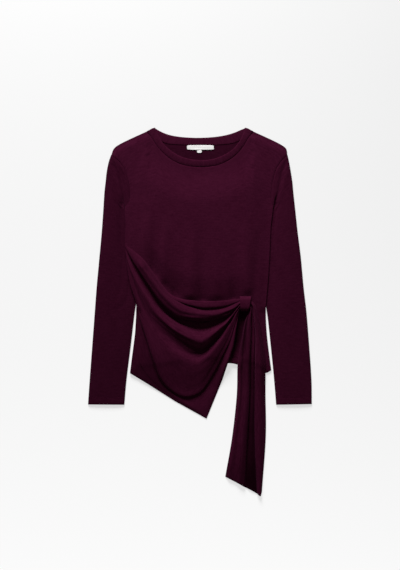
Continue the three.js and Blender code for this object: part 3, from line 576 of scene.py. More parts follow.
def front_folded(x, y):
    """The front's upper face with its folds, kept clear of the back."""
    plain = front_top(x, y)
    lowest = back_top(x, y) + JERSEY_WALL + FOLD_CLEAR
    return np.maximum(plain + creases(x, y, FRONT_CREASES), np.minimum(plain, lowest))


def seam_roll(from_seam):
    """How deep the cloth rolls down into a seam."""
    return SEAM_ROLL["depth"] * np.exp(-(np.maximum(from_seam, 0) / SEAM_ROLL["width"]) ** 2)


def below_armhole(y):
    """Adds to the distance from an armhole under its lower end, where there is no roll."""
    return 20 * (1 - smooth(252, 274, y))


front_plan = panel_plan(FRONT_NECK)
front_x, front_y = front_plan[..., 0], front_plan[..., 1]
to_seam = np.minimum(inside_sides(front_x, front_y) + below_armhole(front_y), from_neck(front_x, front_y))
front_height = front_folded(front_x, front_y) - seam_roll(to_seam) + hem_relief(front_y - hem_y(front_x))
front_upper = np.dstack([front_x, front_y, front_height])
# Painted shadow: the front is drawn darker in the pocket under the gathers, below the loop.
from_pocket = nearest(np.array(FRONT_CREASES[-1]["line"]), front_x, front_y)[0]
front_painted_shadow = (POCKET_PAINTED_SHADOW["tone"] * np.exp(-(from_pocket / POCKET_PAINTED_SHADOW["width"]) ** 2)
               * smooth(-125, -70, front_y))
front_piece = cloth_sheet("front_panel", front_upper, JERSEY_WALL, JERSEY, shade=front_painted_shadow)
front_thread = hem_stitches("front_hem_stitches", front_upper, keep=BODY_HEM)
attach(front_piece, "root")
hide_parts("front")


# ---- Sleeves ---------------------------------------------------------------------------------------
# Each sleeve is one piece of jersey seamed into a tube and set into the armhole. It lies flattened, with
# its inner edge tucked under the body down to the waist, and ends in a narrow cuff hem.

SLEEVE_GRID = {"half_ring": 73, "rows": 150}
SLEEVE_PRESSED = 3.0           # height of a sleeve where the body lies on it
PRESSED_FROM = 11              # how far out from the body's side that begins
SLEEVE_ROUND = 0.6             # the lower, the flatter its top and the steeper its sides
EDGE_MIDDLE = 1.5              # height of the folded edge
EDGE_TURN = 0.075              # share of the width that the folded edge takes to turn
HEAD_INSET = 0.1               # the sleeve's middle ends this far from the armhole, so that the seam closes
UNDERARM_TUCK = 2.6            # and this much further in under the body at the underarm
HEAD_LEVELS = (280, 366)       # the y from which, and to which, its head rises to the height of the front
ARM_FOLD = {"drop": 2.0, "past": 4.5, "tight": 1.8, "open": 7.5, "from_y": (240, 262), "to_y": (340, 372)}
# The stations run from the cuff to the underarm, and the head goes on to the shoulder, with the share of its
# width that shows. The arm fold lies beside the armhole: inside it the sleeve is level with the body, outside
# it drops away. Shade is painted shade: how much darker the sleeve's outer face is drawn than the chest.
SLEEVES = {
    "left": {
        "stations": [
            {"outer": (-268.7, -221.4), "inner": (-181.5, -222), "height": 4.2},
            {"outer": (-264.5, -160), "inner": (-176, -160), "height": 5.6},
            {"outer": (-258.5, -80), "inner": (-166, -80), "height": 6.6},
            {"outer": (-252.5, 0), "inner": (-156.5, 0), "height": 6.9},
            {"outer": (-248, 60), "inner": (-148, 50), "height": 6.9},
            {"outer": (-241.5, 130), "inner": (-141, 110), "height": 6.9},
            {"outer": (-236, 190), "inner": (-142, 162), "height": 6.9},
            {"outer": (-232, 245), "inner": (-157, 211), "height": 6.9},
            {"outer": (-230.6, 268), "inner": (-167, 235), "height": 6.9},
            {"outer": (-229, 290), "inner": (-180.6, 248.4), "height": 6.9},
        ],
        "head": [
            {"outer": (-226, 312), "shows": 0.78},
            {"outer": (-223.5, 335), "shows": 0.7},
            {"outer": (-219, 358), "shows": 0.55},
        ],
        "arm_fold": [
            (249, -180.4), (270, -182.5), (285, -184.5), (310, -190), (335, -196), (358, -204), (378, -214),
        ],
        # painted shade on this sleeve's outer face, deeper than on the right
        "shade": 0.65,
        "folds": [
            {"width": 6, "height": 0.8, "line": [(-214, 372), (-212, 330), (-205, 280)]},
            {"width": 6, "height": -0.8, "line": [(-196, 236), (-192, 190), (-196, 140)]},
            {"width": 9, "height": 0.7, "line": [(-216, 210), (-218, 120), (-226, 30)]},
            {"width": 7, "height": -0.7, "line": [(-178, 130), (-186, 70), (-204, 20)]},
            {"width": 6, "height": -0.6, "line": [(-170, 40), (-190, 12), (-216, 2)]},
            {"width": 8, "height": -0.5, "line": [(-232, -40), (-238, -100), (-246, -160)]},
            {"width": 9, "height": 0.5, "line": [(-196, -60), (-206, -110), (-212, -170)]},
        ],
    },
    "right": {
        "stations": [
            {"outer": (268.2, -220.5), "inner": (182.6, -222), "height": 4.2},
            {"outer": (267.3, -160), "inner": (177.5, -160), "height": 5.6},
            {"outer": (261.9, -80), "inner": (169.5, -80), "height": 6.6},
            {"outer": (255.4, 0), "inner": (160.5, 0), "height": 6.9},
            {"outer": (248.5, 60), "inner": (150, 50), "height": 6.9},
            {"outer": (242, 130), "inner": (141, 110), "height": 6.9},
            {"outer": (234.5, 190), "inner": (141, 162), "height": 6.9},
            {"outer": (228.5, 245), "inner": (154, 211), "height": 6.9},
            {"outer": (226, 268), "inner": (163, 235), "height": 6.9},
            {"outer": (223.5, 290), "inner": (175.6, 248.4), "height": 6.9},
        ],
        "head": [
            {"outer": (221, 312), "shows": 0.78},
            {"outer": (217.5, 335), "shows": 0.7},
            {"outer": (213.5, 358), "shows": 0.55},
        ],
        "arm_fold": [
            (249, 175.6), (270, 179), (290, 184.5), (315, 189), (345, 196), (362, 203.5), (378, 211),
        ],
        # painted shade on this sleeve's outer face
        "shade": 0.3,
        "folds": [
            {"width": 6, "height": 0.7, "line": [(210, 370), (208, 330), (200, 285)]},
            {"width": 6, "height": -0.9, "line": [(192, 230), (190, 180), (198, 120)]},
            {"width": 8, "height": 0.6, "line": [(213, 220), (216, 120), (222, 40)]},
            {"width": 7, "height": -0.8, "line": [(172, 120), (190, 66), (196, 10)]},
            {"width": 8, "height": -0.6, "line": [(226, 10), (232, -60), (242, -140)]},
            {"width": 9, "height": 0.5, "line": [(190, -40), (200, -100), (206, -170)]},
        ],
    },
}


def cloth_tube(name, middle, wall, finish, shade):
    """A closed shell round rows of rings: outer and inner faces, and a rounded rim at each end. Returns it with
    its outer face and that face's normals."""
    rows, count = middle.shape[:2]
    around = np.roll(middle, -1, 1) - np.roll(middle, 1, 1)
    lengthwise = np.gradient(middle, axis=0)
    normal = np.cross(around, lengthwise)
    normal /= np.maximum(np.linalg.norm(normal, axis=2), 1e-9)[..., None]
    out_end = lengthwise / np.linalg.norm(lengthwise, axis=2)[..., None]
    outer = middle + normal * wall / 2
    inner = middle - normal * wall / 2
    rims = [[middle[end] + wall / 2 * (normal[end] * math.cos(a) + sign * out_end[end] * math.sin(a))
             for a in RIM_TURN] for end, sign in ((0, -1), (-1, 1))]
    layers = [*rims[0][::-1], *outer, *rims[1], *inner[::-1]]
    points = np.concatenate(layers)
    a = np.arange(len(points)).reshape(len(layers), count)
    b = np.roll(a, -1, 1)
    faces = np.stack([a, b, np.roll(b, -1, 0), np.roll(a, -1, 0)], -1).reshape(-1, 4)
    half_steps = np.linalg.norm(around[rows // 2], axis=1) / 2
    girth = np.concatenate([[0], np.cumsum(half_steps)])[:count]
    length = np.concatenate([[0], np.cumsum(np.linalg.norm(np.diff(middle, axis=0), axis=2).mean(axis=1))])
    stack = [length[0]] * len(RIM_TURN) + [*length] + [length[-1]] * len(RIM_TURN) + [*length[::-1]]
    spread = np.stack([np.tile(girth, len(layers)), np.repeat(stack, count)], 1)[faces] * MM
    spread = spread.reshape(len(layers), count, 4, 2)
    spread[:, -1, 1:3, 0] = spread[:, -1, 0:1, 0] + half_steps[-1] * MM
    # The outer face is drawn darker by the sleeve's painted shade; the inner face takes the wrong side's tone.
    inner = np.repeat([shade] * (len(layers) - rows) + [1] * rows, count)
    return piece(name, points, faces, spread, finish, inner), outer, normal


def domed(share, shown):
    """Rise across a sleeve: 0 at its edges and 1 in the middle of the share that shows."""
    return np.sin(math.pi * np.clip(share / shown, 0, 1)).clip(0) ** SLEEVE_ROUND


def sleeve(side, stations, head, arm_fold, shade, folds):
    """A flattened tube of jersey between the cuff and the armhole, with a wall and rounded rims."""
    sign = -1 if side == "left" else 1
    share = (1 - np.cos(np.linspace(0, math.pi, SLEEVE_GRID["half_ring"]))) / 2
    last = len(SIDE) - 1
    armhole_rows = through(SIDE, (last - share * (last - UNDERARM["row"])) / last)
    inset = HEAD_INSET - UNDERARM_TUCK * smooth(0.93, 1, share)
    armhole = np.stack([armhole_rows[:, 1 if side == "left" else 2] + sign * inset, armhole_rows[:, 0]], 1)
    plan, height = [], []
    for row in stations:
        outer, inner = np.array(row["outer"]), np.array(row["inner"])
        edge = JERSEY_WALL / 2 / math.dist(outer, inner)
        line = mix(outer, inner, mix(edge, 1 - edge, share)[:, None])
        seen = np.abs(line[:, 0]) >= np.abs(side_x(line[:, 1], side)) + PRESSED_FROM
        seen_to = 1 if seen.all() else share[np.argmin(seen)]
        plan.append(line)
        height.append(mix(SLEEVE_PRESSED, row["height"], domed(share, seen_to)))
    for k, row in enumerate(head):
        line = mix(plan[len(stations) - 1], armhole, (k + 1) / (len(head) + 1))
        plan.append(line + (np.array(row["outer"]) - line[0]) * ((1 - share) ** 2)[:, None])
        height.append(mix(SLEEVE_PRESSED, stations[-1]["height"], domed(share, row["shows"])))
    plan.append(armhole)
    height.append(front_top(armhole[:, 0], armhole[:, 1]))
    length = math.dist(stations[0]["outer"], stations[1]["outer"]) * (len(plan) - 1)
    by_cuff = np.array([0, 4, 8, 11, *HEM_STEPS]) / length
    lengthwise = np.concatenate([by_cuff, np.linspace(PAST_HEM / length, 1, SLEEVE_GRID["rows"])])
    plan, height = through(plan, lengthwise), through(height, lengthwise)
    x, y = plan[..., 0], plan[..., 1]
    fold_y, fold_x = zip(*arm_fold)
    past_fold = sign * (x - np.interp(y, fold_y, fold_x))
    level = FRONT_LEVEL + JERSEY_WALL
    height = mix(height, np.maximum(height, level), smooth(*HEAD_LEVELS, y))
    widening = mix(ARM_FOLD["tight"], ARM_FOLD["open"], smooth(UNDERARM["y"], 300, y))
    inside_fold = smooth(0, 1, 1 - (past_fold + 1) / widening)
    height = mix(height, level, inside_fold * smooth(-0.6, 0.8, y - UNDERARM["y"]))
    fading = smooth(*ARM_FOLD["from_y"], y) * (1 - smooth(*ARM_FOLD["to_y"], y))
    height -= ARM_FOLD["drop"] * np.exp(-(past_fold / ARM_FOLD["past"] - 1) ** 2) * fading
    height -= seam_roll(np.linalg.norm(plan - plan[-1:], axis=2) + below_armhole(y))
    from_edges = np.minimum(share, 1 - share)
    height += creases(x, y, folds) * smooth(0, 0.12, share) * smooth(0, 0.1, 1 - share)
    height += hem_relief(lengthwise[:, None] * length) * smooth(0.02, 0.06, from_edges)
    turn = np.sqrt(1 - (1 - np.clip(from_edges / EDGE_TURN, 0, 1)) ** 2)
    turn = mix(turn, 1, smooth(0.58, 0.68, lengthwise)[:, None] * (share > 0.5))
    upper = np.dstack([plan, EDGE_MIDDLE + (height - EDGE_MIDDLE - JERSEY_WALL / 2) * turn])
    under = np.dstack([plan, EDGE_MIDDLE + (JERSEY_WALL / 2 - EDGE_MIDDLE) * turn])
    ring = np.concatenate([upper, under[:, -2:0:-1]], axis=1)
    if side == "right":
        ring = ring[:, ::-1]
    made, face, normal = cloth_tube(side + "_sleeve", ring, JERSEY_WALL, JERSEY, shade)
    face, normal = (np.concatenate([grid, grid[:, :1]], axis=1) for grid in (face, normal))
    return made, hem_stitches(side + "_sleeve_cuff_stitches", face, normal=normal, lift=0.05)


for side, cut in SLEEVES.items():
    sleeve_piece, cuff_thread = sleeve(side, **cut)
    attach(sleeve_piece, "root")
    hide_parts("sleeve_" + side)


# ---- Neckband --------------------------------------------------------------------------------------
# A strip of the same jersey, folded lengthwise and sewn round the neck as one ring. Its seam sits in a
# shallow groove, and its folded edge stands free.

FRONT_BAND_EDGE = [
    (-107, 440.5), (-100.5, 424), (-91, 408), (-77, 393), (-60, 380.5), (-40, 371), (-20, 366), (0, 364),
    (20, 365), (40, 369.5), (60, 378), (78, 390), (92, 405.5), (101, 422), (107, 440.5),
]
BACK_BAND_EDGE = [
    (-107, 440.5), (-97, 434.5), (-82, 427.7), (-62, 422.4), (-34, 419), (0, 418), (34, 420), (62, 424.4),
    (82, 430.3), (97, 436.6), (107, 440.5),
]
BAND_GRID = {"along": 121, "turn": 14}  # sections along the front or the back, and round each fold
BAND_THICKNESS = 2.4
BAND_LOW = -1.1                # underside of its section
# Cross-section from the sewn edge (0) round over the upper face to the free edge (1) and back beneath.
BAND_SECTION = [
    (-0.09, 0.15), (-0.05, 0.5), (0.06, 0.95), (0.22, 1.2), (0.4, 1.3), (0.6, 1.3), (0.78, 1.2), (0.9, 1),
    (0.97, 0.6), (1, 0), (0.97, -0.6), (0.9, -0.95), (0.75, BAND_LOW), (0.5, BAND_LOW), (0.25, BAND_LOW),
    (0.08, -0.95), (-0.05, -0.6), (-0.09, -0.25),
]
FRONT_BAND_TILT = 1.3          # how much higher its free edge stands than its seam, over the front
BACK_SEAM_RIDGE = 1.4          # and how much its seam stands up, over the back


def band_rings():
    """Sections of the neckband all the way round: front, fold, back, fold."""
    back_middle = BAND_THICKNESS / 2
    fold_middle = BAND_THICKNESS * 1.5 + SEAM_GAP
    front_middle = NECK_LEVEL + BAND_THICKNESS / 2
    t = np.linspace(0, 1, BAND_GRID["along"])
    middles = mix(fold_middle, front_middle, smooth(0, 0.12, np.minimum(t, 1 - t)))
    front = [(s, f, m, 0) for s, f, m in zip(through(FRONT_NECK, t), through(FRONT_BAND_EDGE, t), middles)]
    back = [(s, f, back_middle, math.pi) for s, f in zip(through(BACK_NECK, t), through(BACK_BAND_EDGE, t))]
    turning = np.linspace(0, math.pi, BAND_GRID["turn"])[1:-1]

    def fold_at(stations, turns):
        sewn, free = stations[0], stations[1]
        return [(sewn, free, mix(back_middle, fold_middle, (1 + math.cos(a)) / 2), a) for a in turns]
    stations = front + fold_at(front[-1], turning) + back[::-1] + fold_at(front[0], turning[::-1])
    rings = []
    for sewn, free, middle, turn in stations:
        across = free - sewn
        outward = np.array([math.copysign(abs(across[1]), sewn[0]), abs(across[0])]) / np.linalg.norm(across)
        reach = ((fold_middle - back_middle) / 2) * math.sin(turn)
        over_front = (1 + math.cos(turn)) / 2

        def corner(share, height):
            out = (reach + height * math.sin(turn)) * mix(0.25, 1, smooth(0, 0.7, share))
            tilt = FRONT_BAND_TILT * (share - 0.25) * over_front
            by_seam = (height - BAND_LOW) / BAND_THICKNESS * math.exp(-(share / 0.22) ** 2)
            ridge = BACK_SEAM_RIDGE * by_seam * (1 - over_front)
            return (*(sewn + across * share + outward * out), middle + height * math.cos(turn) + tilt + ridge)
        rings.append([corner(share, height) for share, height in BAND_SECTION])
    return np.array(rings)


def ring_piece(name, rings, finish):
    """A closed ring from sections that follow each other round and join up."""
    count, corners = rings.shape[:2]
    index = np.arange(count * corners).reshape(count, corners)
    a, b = index, np.roll(index, -1, 0)
    faces = np.stack([a, b, np.roll(b, -1, 1), np.roll(a, -1, 1)], -1).reshape(-1, 4)
    step = np.linalg.norm(np.roll(rings, -1, 0) - rings, axis=2).mean(axis=1)
    round_neck = np.concatenate([[0], np.cumsum(step)])
    section = rings[BAND_GRID["along"] // 2]
    round_section = np.concatenate([[0], np.cumsum(np.linalg.norm(np.roll(section, -1, 0) - section, axis=1))])
    spread = np.zeros((count, corners, 4, 2))
    for corner, (dr, dc) in enumerate([(0, 0), (1, 0), (1, 1), (0, 1)]):
        spread[:, :, corner, 0] = round_section[None, dc:corners + dc]
        spread[:, :, corner, 1] = round_neck[dr:count + dr, None]
    return piece(name, rings.reshape(-1, 3), faces, spread * MM, finish)


band_piece = ring_piece("neck_band", band_rings(), JERSEY)
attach(band_piece, "root")
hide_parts("neckband")


# ---- Labels ----------------------------------------------------------------------------------------
# A woven satin label lies on the inside of the back, just under the neckband, and a small size tag hangs
# below it. Both are plain, with their ends folded under and sewn down.

LABELS = [
    {"name": "woven_neck_label", "node": "neck_label", "at": (1, 394.7), "size": (64.4, 11.2), "corner": 1,
     "flat": (0.0644, 0.0112), "area": 0.00072},
    {"name": "woven_size_tag", "node": "size_tag", "at": (-1.5, 385.4), "size": (11.6, 7.4), "corner": 0.8,
     "flat": (0.0116, 0.01), "area": 0.000086},
]
LABEL_GRID = {"rows": 21, "columns": 67}
LABEL_WALL = 0.8
LABEL_LIFT = {"bow": 0.35, "curl": 0.5}  # how far its middle bows up, and its lower edge curls
LABEL_SEAM = {"in": 2.2, "width": 0.7, "depth": 0.35}  # the stitched line at each end


def label_finish():
    """White woven satin: close fine ribs across it, slightly glossy."""
    satin = Finish("white_woven_satin")
    cloth = satin.node("ShaderNodeUVMap", {"uv_map": "cloth"})
    across = satin.node("ShaderNodeSeparateXYZ", None, cloth)
    lengthwise = across.output(1)
    weave = waves(lengthwise, 0.0006).math("SINE") * 0.6 + waves(across, 0.0009).math("SINE") * 0.4
    slub = satin.node("ShaderNodeTexNoise", None, cloth, Scale=700, Detail=2)
    colour = satin.node("ShaderNodeValToRGB", {"stops": [
        (0.25, (0.62, 0.61, 0.6)), (0.75, (0.72, 0.715, 0.7))]}, slub * 0.8 + weave * 0.1)
    bump = satin.node("ShaderNodeBump", None, Strength=0.25, Distance=0.0002, Height=weave + slub * 0.5)
    surface = satin.node("ShaderNodeBsdfPrincipled", None, colour, Roughness=0.5, Normal=bump,
                         Specular_IOR_Level=0.35)
    satin.node("ShaderNodeOutputMaterial", None, surface)
    return satin.material


SATIN = label_finish()
for row in LABELS:
    u, v = np.meshgrid(np.linspace(-1, 1, LABEL_GRID["columns"]), np.linspace(-1, 1, LABEL_GRID["rows"]))
    half_width, half_height = ((size - LABEL_WALL) / 2 for size in row["size"])
    pull = row["corner"] * (np.abs(u) * np.abs(v)) ** 8
    label_x = row["at"][0] + u * (half_width - pull)
    label_y = row["at"][1] + v * (half_height - pull)
    lift = LABEL_LIFT["bow"] * (1 - v**2) * (0.6 + 0.4 * np.sin(u * 4))
    lift += LABEL_LIFT["curl"] * smooth(-0.2, -1, v) * (1 - u**2)
    from_end = half_width * (1 - np.abs(u))
    sewn_end = -LABEL_SEAM["depth"] * np.exp(-((from_end - LABEL_SEAM["in"]) / LABEL_SEAM["width"]) ** 2)
    label_z = back_top(label_x, label_y) + SEAM_GAP + LABEL_WALL + lift + sewn_end
    label_piece = cloth_sheet(
        row["name"], np.dstack([label_x, label_y, label_z]), LABEL_WALL, SATIN, wrong_side="none")
    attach(label_piece, "root")
    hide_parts(row["node"])


# ---- Draped panel ----------------------------------------------------------------------------------
# A bias-cut panel of the jersey, sewn into the left side seam. It is pulled across the front and gathered
# into the loop, so that it hangs between the two in cowl folds, over a flat border with a turned hem.

# Fold lines from the top edge to the free border: the y of each at the side seam, how high it stands on its
# left and on its right, and the six places it passes on its way to the loop, or twelve where it bends more.
DRAPE_FOLDS = [
    {"seam": 161, "rise": (0.2, 0.2), "places": [
        (-133, 123.5), (-72, 44.5), (-16, 28), (28, 26), (64, 28.3), (95, 31.8)]},
    {"seam": 160.6, "rise": (2.5, 3), "places": [
        (-134, 122.5), (-73, 43), (-16, 26.5), (28, 24.5), (64, 27), (95, 30.6)]},
    {"seam": 160, "rise": (5, 5.5), "places": [
        (-135, 121.5), (-74.2, 41.5), (-15, 16), (28, 13), (64, 17.5), (95, 28)]},
    {"seam": 159.2, "rise": (8, 2), "places": [
        (-136, 120), (-75.6, 40), (-12, 9), (28, 4.2), (64, 11), (95, 25.5)]},
    {"seam": 158.2, "rise": (11, 11), "places": [
        (-137.5, 118), (-77, 38.5), (-14, 7.5), (28, 2), (64, 8.6), (95, 23.5)]},
    {"seam": 156.5, "rise": (19, 19), "places": [
        (-160, 133), (-142, 112), (-115, 76), (-88, 40), (-52, 9), (-15, -3),
        (8, -5.5), (28, -6), (46, -3), (64, 1.5), (79, 8.5), (94.8, 21)]},
    {"seam": 154.5, "rise": (15, 15), "places": [
        (-164, 129), (-148, 105), (-121.5, 66), (-94.5, 28), (-56, -5.5), (-15, -17),
        (8, -18), (28, -15.5), (46, -11.5), (62, -7.5), (79, 4), (94.5, 19.8)]},
    {"seam": 153.5, "rise": (8, 8), "places": [
        (-164.5, 127.5), (-149, 102.5), (-123.3, 62.5), (-96.7, 24), (-59, -10), (-15, -22),
        (8, -22.5), (28, -20), (46, -15.5), (62, -10.6), (79, 2.6), (94.5, 19.1)]},
    {"seam": 152.5, "rise": (3, 3), "places": [
        (-164.7, 127), (-149.3, 101.6), (-123.3, 62), (-96.2, 23.5), (-58.3, -9.2), (-14.5, -20.3),
        (8, -20.8), (28, -18.3), (46, -14.2), (62, -9.8), (79, 3.1), (94.5, 18.5)]},
    {"seam": 151.5, "rise": (0.8, 0.8), "places": [
        (-165, 125), (-149.8, 98), (-124.2, 58.5), (-96.7, 19.5), (-59, -14.2), (-14, -26),
        (8.5, -26.5), (29, -23), (46.5, -18), (62, -12.5), (79, 1.7), (94.4, 17.8)]},
    {"seam": 150, "rise": (1.4, 1.4), "places": [
        (-166, 120), (-150, 92), (-125.4, 53), (-98.3, 13.5), (-60, -21), (-12, -39),
        (10, -39.5), (30, -33), (47.5, -24), (62, -16.5), (79, -0.4), (94.4, 17)]},
    {"seam": 146, "rise": (7, 8.5), "places": [
        (-150.5, 84), (-101, 8.5), (-12, -48), (30, -40), (63, -20), (94.3, 15.6)]},
    {"seam": 138, "rise": (13, 16), "places": [
        (-167, 105), (-151.5, 73), (-130, 38), (-106, 0), (-60, -42), (-9, -66),
        (12, -64), (32, -51), (49, -37.5), (64, -25), (79, -6), (94, 14)]},
    {"seam": 130, "rise": (9, 11.5), "places": [
        (-152.5, 62), (-110, -9), (-8, -78), (31, -61), (64, -26.5), (94, 13.2)]},
    {"seam": 127, "rise": (8, 6.5), "places": [
        (-151.5, 57), (-111, -14), (-9, -87), (30.5, -67), (63.8, -28.8), (94, 12.6)]},
    {"seam": 124, "rise": (7.2, 2.8), "places": [
        (-151, 52), (-110, -19), (-12, -88), (30, -65.4), (63.5, -28.2), (94, 12.1)]},
    {"seam": 121, "rise": (6.6, 0.8), "places": [
        (-150, 46), (-109, -26), (-15, -94), (30, -70), (63.6, -30.5), (94, 11.5)]},
    {"seam": 117, "rise": (6.6, 1.4), "places": [
        (-148.5, 38), (-107, -36), (-15, -103), (30, -78.5), (64.2, -34.5), (94, 10.6)]},
    {"seam": 100, "rise": (8, 12), "places": [
        (-143.5, 21), (-104, -58), (-20, -124), (32, -91), (67, -38), (94, 9)]},
    {"seam": 66, "rise": (8.6, 10), "places": [
        (-152, 30), (-141, -1), (-120.3, -42.5), (-99.5, -84), (-72, -130), (-32, -164),
        (5, -154), (31, -119), (51, -86), (68, -54), (83, -18), (94.2, 8)]},
    {"seam": 30, "rise": (9.6, 7.5), "places": [
        (-144, 2), (-133.5, -24), (-119.5, -62), (-103, -106), (-79.5, -153), (-38, -186),
        (0, -177), (28, -137), (49, -99), (67, -64), (83, -22), (94.4, 7.2)]},
    {"seam": 22, "rise": (9.6, 6.5), "places": [
        (-146.8, -2), (-139.6, -25), (-126.5, -64), (-111.5, -110), (-88.5, -164), (-42, -198),
        (-2, -188), (30, -144), (50.5, -104), (68.5, -68), (83.4, -24), (94.4, 7)]},
    {"seam": 17, "rise": (5, 5), "places": [
        (-147.6, -6), (-141, -28.5), (-128.3, -67.5), (-113.3, -113), (-90.3, -166.5), (-43, -201.5),
        (0, -192), (32.5, -146.5), (53, -106), (70.5, -70), (84.3, -25.5), (94.4, 6.6)]},
    {"seam": 13, "rise": (1, 1), "places": [
        (-148.4, -8.5), (-142.2, -30.5), (-129.6, -69), (-114.6, -114.5), (-91.6, -168), (-43, -203.5),
        (0.5, -194), (32.4, -147.8), (53, -107), (70.5, -71), (84.2, -26), (94.4, 6.2)]},
    {"seam": -60, "rise": (1, 2), "places": [
        (-152, -97), (-116, -158.6), (-2, -231.6), (47.6, -150.5), (75.6, -80), (94.2, 5.4)]},
    {"seam": -146.5, "rise": (0, 0), "places": [
        (-125, -172.4), (-60, -213.6), (15.4, -255.6), (54.2, -160.5), (79.8, -83), (94.5, 4.5)]},
]
FOLD_SPANS = {"out": 12, "inside": 2}  # equal steps of a fold from the seam to the loop, and inside the loop
LEFT_ENDS = (0.27, 0.42)       # where the left rise passes into the right one, as a share of the way across
DRAPE_GRID = {"rows": 201, "columns": 141}
# Share of each fold's height, and of the heap at the gathers, from the seam to inside the loop.
DRAPE_SWELL = [0.03, 0.72, 0.97, 1, 1, 0.66, 0.22, 0.08]
DRAPE_HEAP = [0, 0, 0, 0, 0, 0.2, 0.85, 1]
GATHER = {"x": 103.5, "top": 30, "bottom": 13, "heap": 6.2}
DRAPE_CLEAR = 1.2              # over the front and its folds
# How far past the front's hem the draped cloth sinks close to it and further off, how far over the hem it
# begins to, and how far in it takes the front's height there.
HEM_DROP = {"close": 28, "far": 70, "above": 60, "inside": 50}
ROLL_PAINTED_SHADE, EDGE_PAINTED_SHADE = 0.5, 0.7  # painted shade: the top roll and the edge behind the lowest fold are drawn in a darker tone
NARROW_HEM = 4.5               # from the edge to the one row of stitches of its turned hem
DRAPE_CREASES = [
    {"width": 2.6, "height": -1.1, "line": [(-150, 124), (-116, 84), (-84, 44), (-50, 16), (-20, 5)]},
    {"width": 2.8, "height": -1, "line": [(-152, 116), (-118, 68), (-88, 30), (-52, 0), (-10, -8), (30, -9)]},
    {"width": 3, "height": -0.8, "line": [(-136, 60), (-108, 16), (-72, -22), (-30, -46)]},
    {"width": 4, "height": -0.7, "line": [(-40, -128), (-6, -132), (26, -110), (56, -68)]},
    {"width": 3.2, "height": 3.6, "line": [(-66, -8), (-40, -19), (-14, -24), (14, -26), (36, -20)]},
    {"width": 2.6, "height": 2.6, "line": [(-30, -29), (-6, -33), (20, -31)]},
    {"width": 3, "height": 1.2, "line": [(-44, -8), (-20, -13), (4, -14)]},
    {"width": 2.4, "height": 1.8, "line": [(52, 0), (72, 6), (92, 15)]},
    {"width": 2.4, "height": 1.8, "line": [(58, -13), (76, -2), (94, 12)]},
    {"width": 2.2, "height": 1.5, "line": [(62, -22), (78, -10), (95, 9)]},
    {"width": 2.2, "height": -1.6, "line": [(50, -8), (70, 0), (92, 13)]},
    {"width": 2.0, "height": -1.5, "line": [(60, -18), (76, -6), (94, 10)]},
    {"width": 3, "height": -1.8, "line": [(-40, -92), (-14, -101), (12, -94)]},
    {"width": 7, "height": 6, "line": [(92, 0), (85, -45), (77, -88), (62, -130), (46, -170)]},
]


def resting_top(x, y):
    """Upper face of cloth that lies over the front, and past its hem sinks to the surface in a long slope."""
    below = y - hem_y(x)
    raised = np.maximum(creases(x, y, FRONT_CREASES), 0) + DRAPE_CLEAR
    close = smooth(-HEM_DROP["close"], -1, below) * (front_top(x, np.maximum(y, hem_y(x))) + raised)
    inside = front_top(x, np.maximum(y, hem_y(x) + HEM_DROP["inside"])) + raised
    far = smooth(-HEM_DROP["far"], HEM_DROP["above"], below) * inside
    return JERSEY_WALL + (close + far + np.sqrt((close - far) ** 2 + 1)) / 2 - 0.5


def folded_cloth(lines, grid, swell, heap, heap_round):
    """Plan and height of a panel from its fold lines, which are functions of the share of their length, with
    each point's share along them and across them."""
    u, v = (np.linspace(0, 1, grid[key]) for key in ("columns", "rows"))
    x, y, rise = np.moveaxis(through([line(u) for line in lines], v), 2, 0)
    u, v = u[None, :], v[:, None]
    heaped = through(heap, u) * GATHER["heap"] * np.sin(math.pi * v).clip(0) ** heap_round
    return x, y, resting_top(x, y) + np.maximum(rise, 0) * through(swell, u) + np.maximum(heaped, 0), u, v


def drape_line(row, heap_at, along_it):
    """One row of the table as a function of the share of its length."""
    places = [(side_x(row["seam"], "left") + SEAM_INSET, row["seam"]), *row["places"]]
    out, inside = FOLD_SPANS["out"], FOLD_SPANS["inside"]
    if len(places) <= out:
        places = along_it(places, np.linspace(0, 1, out + 1))

    def line(u):
        step = u * (out + inside)
        in_loop = np.clip((step - out) / inside, 0, 1)[:, None]
        plan = mix(along_it(places, step / out), np.array([[GATHER["x"], heap_at]]), in_loop)
        return np.column_stack([plan, mix(*row["rise"], smooth(*LEFT_ENDS, u))])
    return line


def cornered(points, t):
    """A line with a corner at each point, for the free border, whose corner is at its lowest place."""
    points = np.asarray(points, dtype=float)
    place = np.clip(t, 0, 1) * (len(points) - 1)
    return np.stack([np.interp(place, np.arange(len(points)), points[:, k]) for k in (0, 1)], 1)


drape_lines = []
for number, row in enumerate(DRAPE_FOLDS):
    gathered_at = mix(GATHER["top"], GATHER["bottom"], number / (len(DRAPE_FOLDS) - 1))
    drape_lines.append(drape_line(row, gathered_at, cornered if row is DRAPE_FOLDS[-1] else through))
drape_x, drape_y, drape_height, drape_u, drape_v = folded_cloth(
    drape_lines, DRAPE_GRID, DRAPE_SWELL, DRAPE_HEAP, heap_round=0.5)
drape_height += creases(drape_x, drape_y, DRAPE_CREASES) * smooth(0, 0.06, drape_u)
drape_upper = np.dstack([drape_x, drape_y, drape_height])[::-1]
# Painted shade, drawn darker: the top roll, and the border behind the lowest fold towards the left.
drape_painted_shade = (
    EDGE_PAINTED_SHADE * smooth(0.78, 0.86, drape_v) * smooth(30, 110, -drape_x)
    + ROLL_PAINTED_SHADE * smooth(0.02, 0.1, drape_v) * (1 - smooth(0.2, 0.3, drape_v)))[::-1]
drape_piece = cloth_sheet("draped_panel", drape_upper, JERSEY_WALL, JERSEY, shade=drape_painted_shade)
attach(drape_piece, "root")
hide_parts("drape")
drape_thread = stitches("drape_edge_stitches", beside(drape_upper, "bottom", NARROW_HEM, keep=(0.01, 0.82)))


